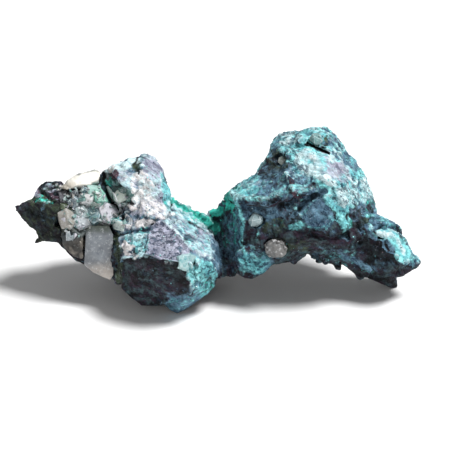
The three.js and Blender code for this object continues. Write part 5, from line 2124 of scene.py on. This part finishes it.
GRAINS: dict[str, GrainLook] = {
    "calcite_grain_upper": GrainLook(Clarity.CLEAR, 34, linear(176, 196, 200), 5),
    "calcite_grain_lower": GrainLook(Clarity.MILKY, 60, linear(128, 126, 124), 14),
    "calcite_grain_crest": GrainLook(Clarity.CLEAR, 26, linear(150, 190, 190), 4),
    "calcite_grain_cavity": GrainLook(Clarity.MILKY, 22, linear(120, 132, 124), 4),
}


@dataclass
class CalciteGrains:
    """The calcite grains seated alone in the right lobe.

    Attributes:
        materials: The material of each clarity.
        swollen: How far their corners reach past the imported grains.
        worn_mm: Width of their worn edges.
    """

    materials: dict[Clarity, Material]
    swollen: float = 1.12
    worn_mm: float = 0.05

    def spread(self, draw: np.random.Generator, count: int, least: float) -> np.ndarray:
        """Strews points over a ball.

        Args:
            draw: Where the random numbers come from.
            count: How many points there are.
            least: How far out they are at least, as a share of the radius.

        Returns:
            The points as shares of the radius, one to a row.
        """
        rays = draw.normal(size=(count, 3))
        rays /= np.linalg.norm(rays, axis=1)[:, None]
        return rays * draw.uniform(least, 1.06, (count, 1))

    def build(self) -> None:
        """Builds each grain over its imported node."""
        draw = np.random.default_rng(52)
        for node, look in GRAINS.items():
            low, high = (np.array(corner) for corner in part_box(node))
            middle, half = (low + high) / 2, (high - low) / 2 * self.swollen
            solid = bmesh.new()
            add_hull(solid, middle + self.spread(draw, look.corners, 0.86) * half)
            for ray in self.spread(draw, look.bits, 0.98):
                size = draw.uniform(0.16, 0.36)
                bit = self.spread(draw, 12, 0.8) * half * size
                add_hull(solid, middle + ray * half * (1.06 - size) + bit)
            piece = linked_object(node.replace("calcite_", ""), mesh_of(solid, node + "_facets"))
            piece.data.materials.append(self.materials[look.clarity])
            piece.data.materials.append(self.materials[Clarity.WORN])
            wear_edges(piece, self.worn_mm)
            tint_all(piece.data, look.tint)
            settled(piece, CALCITE_SLOT, node)


# ---- druse


@dataclass
class Druse:
    """Thousands of tiny crystals that grew over the crusts.

    Attributes:
        count: How many there are.
        smallest_mm: Radius of the smallest.
        largest_mm: Radius of the largest.
        rarity: How much rarer the large ones are than the small.
    """

    count: int = 2600
    smallest_mm: float = 0.06
    largest_mm: float = 0.16
    rarity: float = 2.2

    def build(self, copper: CopperMass, material: Material) -> None:
        """Scatters the crystals over the copper where its crusts are thick.

        Args:
            copper: The crusted copper, already in its final shape.
            material: The tinted crust.
        """
        draw = np.random.default_rng(64)
        places, normals = copper.places, copper.normals
        shares = np.stack([copper.layers[cover.value] for cover in Cover], axis=1) ** 1.5
        total = shares.sum(axis=1) * (1.0 - 0.8 * copper.layers["hollow"]) + 0.04
        total[places[:, 2] < 0.4 * MM] = 0.0
        hosts = draw.choice(len(places), self.count, p=total / total.sum())
        picked = shares[hosts] + 1e-4
        picked = picked / picked.sum(axis=1)[:, None]
        kind = (picked.cumsum(axis=1) < draw.random((self.count, 1))).sum(axis=1)
        kind = np.minimum(kind, len(Cover) - 1)
        deep = np.array([CRUSTS[cover].deep for cover in Cover])[kind]
        bright = np.array([CRUSTS[cover].bright for cover in Cover])[kind]
        blend = draw.random((self.count, 1))
        tint = deep * (1.0 - blend) + bright * blend
        growth = draw.random((self.count, 1, 1)) ** self.rarity
        radius = self.smallest_mm + (self.largest_mm - self.smallest_mm) * growth
        points = np.array([(1, 0, 0), (-1, 0, 0), (0, 1, 0), (0, -1, 0), (0, 0, 1), (0, 0, -1)])
        shapes = points[None] * draw.uniform(0.6, 1.3, (self.count, 6, 1))
        shapes = shapes + draw.normal(scale=0.18, size=shapes.shape)
        turns = np.linalg.qr(draw.normal(size=(self.count, 3, 3)))[0]
        shapes = np.einsum("nij,nkj->nki", turns, shapes) * radius * MM
        lift = normals[hosts] * radius[:, 0] * 0.35 * MM
        corners = (places[hosts] + lift)[:, None, :] + shapes
        upper = ((0, 2, 4), (2, 1, 4), (1, 3, 4), (3, 0, 4))
        lower = ((2, 0, 5), (1, 2, 5), (3, 1, 5), (0, 3, 5))
        sides = np.array(upper + lower)
        flipped = np.linalg.det(turns) < 0
        faces = np.where(flipped[:, None, None], sides[None, :, ::-1], sides[None])
        faces = faces + 6 * np.arange(self.count)[:, None, None]
        built = bpy.data.meshes.new("druse")
        built.from_pydata(corners.reshape(-1, 3).tolist(), [], faces.reshape(-1, 3).tolist())
        built.update()
        store_tint(built, np.clip(np.repeat(tint, 6, axis=0), 0.0, 1.0))
        built.materials.append(material)
        settled(linked_object("druse", built), COPPER_SLOT)


# ---- studio


@dataclass
class Studio:
    """A pale floor, soft light and the camera.

    Attributes:
        width_mm: Width of the view at the show face.
        sensor_mm: Width of the camera's sensor.
        ambient: How strongly the room's white walls light the specimen.
        wall: How bright the walls themselves look.
    """

    width_mm: float = 78.75
    sensor_mm: float = 36.0
    ambient: float = 0.24
    wall: float = 0.92

    def build(self) -> None:
        """Sets the floor, the lights and the camera."""
        self.floor()
        self.lights()
        self.camera()

    def floor(self) -> None:
        """Lays the pale floor."""
        bpy.ops.mesh.primitive_plane_add(size=6.0, location=(0.0, 0.0, -0.0001))
        floor = bpy.context.object
        floor.name = "floor"
        material, _, shader = new_material("pale_floor")
        shader.inputs["Base Color"].default_value = (0.9, 0.9, 0.9, 1.0)
        shader.inputs["Roughness"].default_value = 0.9
        floor.data.materials.append(material)

    def light(self, name: str, place: Vector, softness: float, strength: float) -> None:
        """Hangs one soft, even light that faces the specimen.

        Args:
            name: The light's name.
            place: Where it hangs.
            softness: How wide it looks from the specimen, in degrees.
            strength: How strong it is.
        """
        data = bpy.data.lights.new(name, "SUN")
        data.angle = math.radians(softness)
        data.energy = strength
        light = linked_object(name, data)
        light.location = place
        light.rotation_euler = (-place).to_track_quat("-Z", "Y").to_euler()

    def lights(self) -> None:
        """Hangs the lights and whitens the room."""
        self.light("key", Vector((0.22, -0.06, 0.46)), 20.0, 4.1)
        self.light("front", Vector((-0.1, -0.55, 0.25)), 28.0, 0.38)
        world = bpy.data.worlds.new("room")
        world.use_nodes = True
        wire = Wiring(world.node_tree)
        room = world.node_tree.nodes["Background"]
        room.inputs["Color"].default_value = (1.0, 1.0, 1.0, 1.0)
        looked_at = wire.node("ShaderNodeLightPath", {}).outputs["Is Camera Ray"]
        brighter = wire.times(looked_at, self.wall - self.ambient)
        wire.feed(room.inputs["Strength"], wire.math("ADD", brighter, self.ambient))
        scene = bpy.context.scene
        scene.world = world
        scene.view_settings.view_transform = "Standard"

    def camera(self) -> None:
        """Sets the camera square to the show face."""
        data = bpy.data.cameras.new("camera")
        data.sensor_width = self.sensor_mm
        data.lens = self.sensor_mm * -EYE_MM[1] / self.width_mm
        data.clip_start = 0.01
        camera = linked_object("camera", data)
        camera.location = stood(EYE_MM[None, :])[0]
        look = Vector((0.0, math.cos(LEAN), -math.sin(LEAN)))
        camera.rotation_euler = look.to_track_quat("-Z", "Y").to_euler()
        bpy.context.scene.camera = camera


def main() -> None:
    """Builds the specimen, piece by piece, and the studio round it."""
    logging.basicConfig(level=logging.INFO, format="%(name)s: %(message)s")
    Studio().build()
    groups = ShaderGroups()
    copper = CopperMass()
    copper.build(CrustedCopper(groups).build())
    rock = TintedCrust(groups, "calcite_ground", linear(214, 218, 216), 0.16, 0.55)
    ground = CalciteGround()
    ground.build(rock.build())
    clarities = {clarity: Calcite(groups, clarity).build() for clarity in Clarity}
    crystals = CalciteCrystals([*copper.pieces, ground.piece], clarities)
    crystals.build_cluster()
    crystals.build_crumbs()
    crystals.build_block()
    crystals.build_flake()
    CalciteGrains(clarities).build()
    grains = TintedCrust(groups, "druse", linear(226, 240, 240), 0.1, 0.32)
    Druse().build(copper, grains.build())


if __name__ == "__main__":
    main()
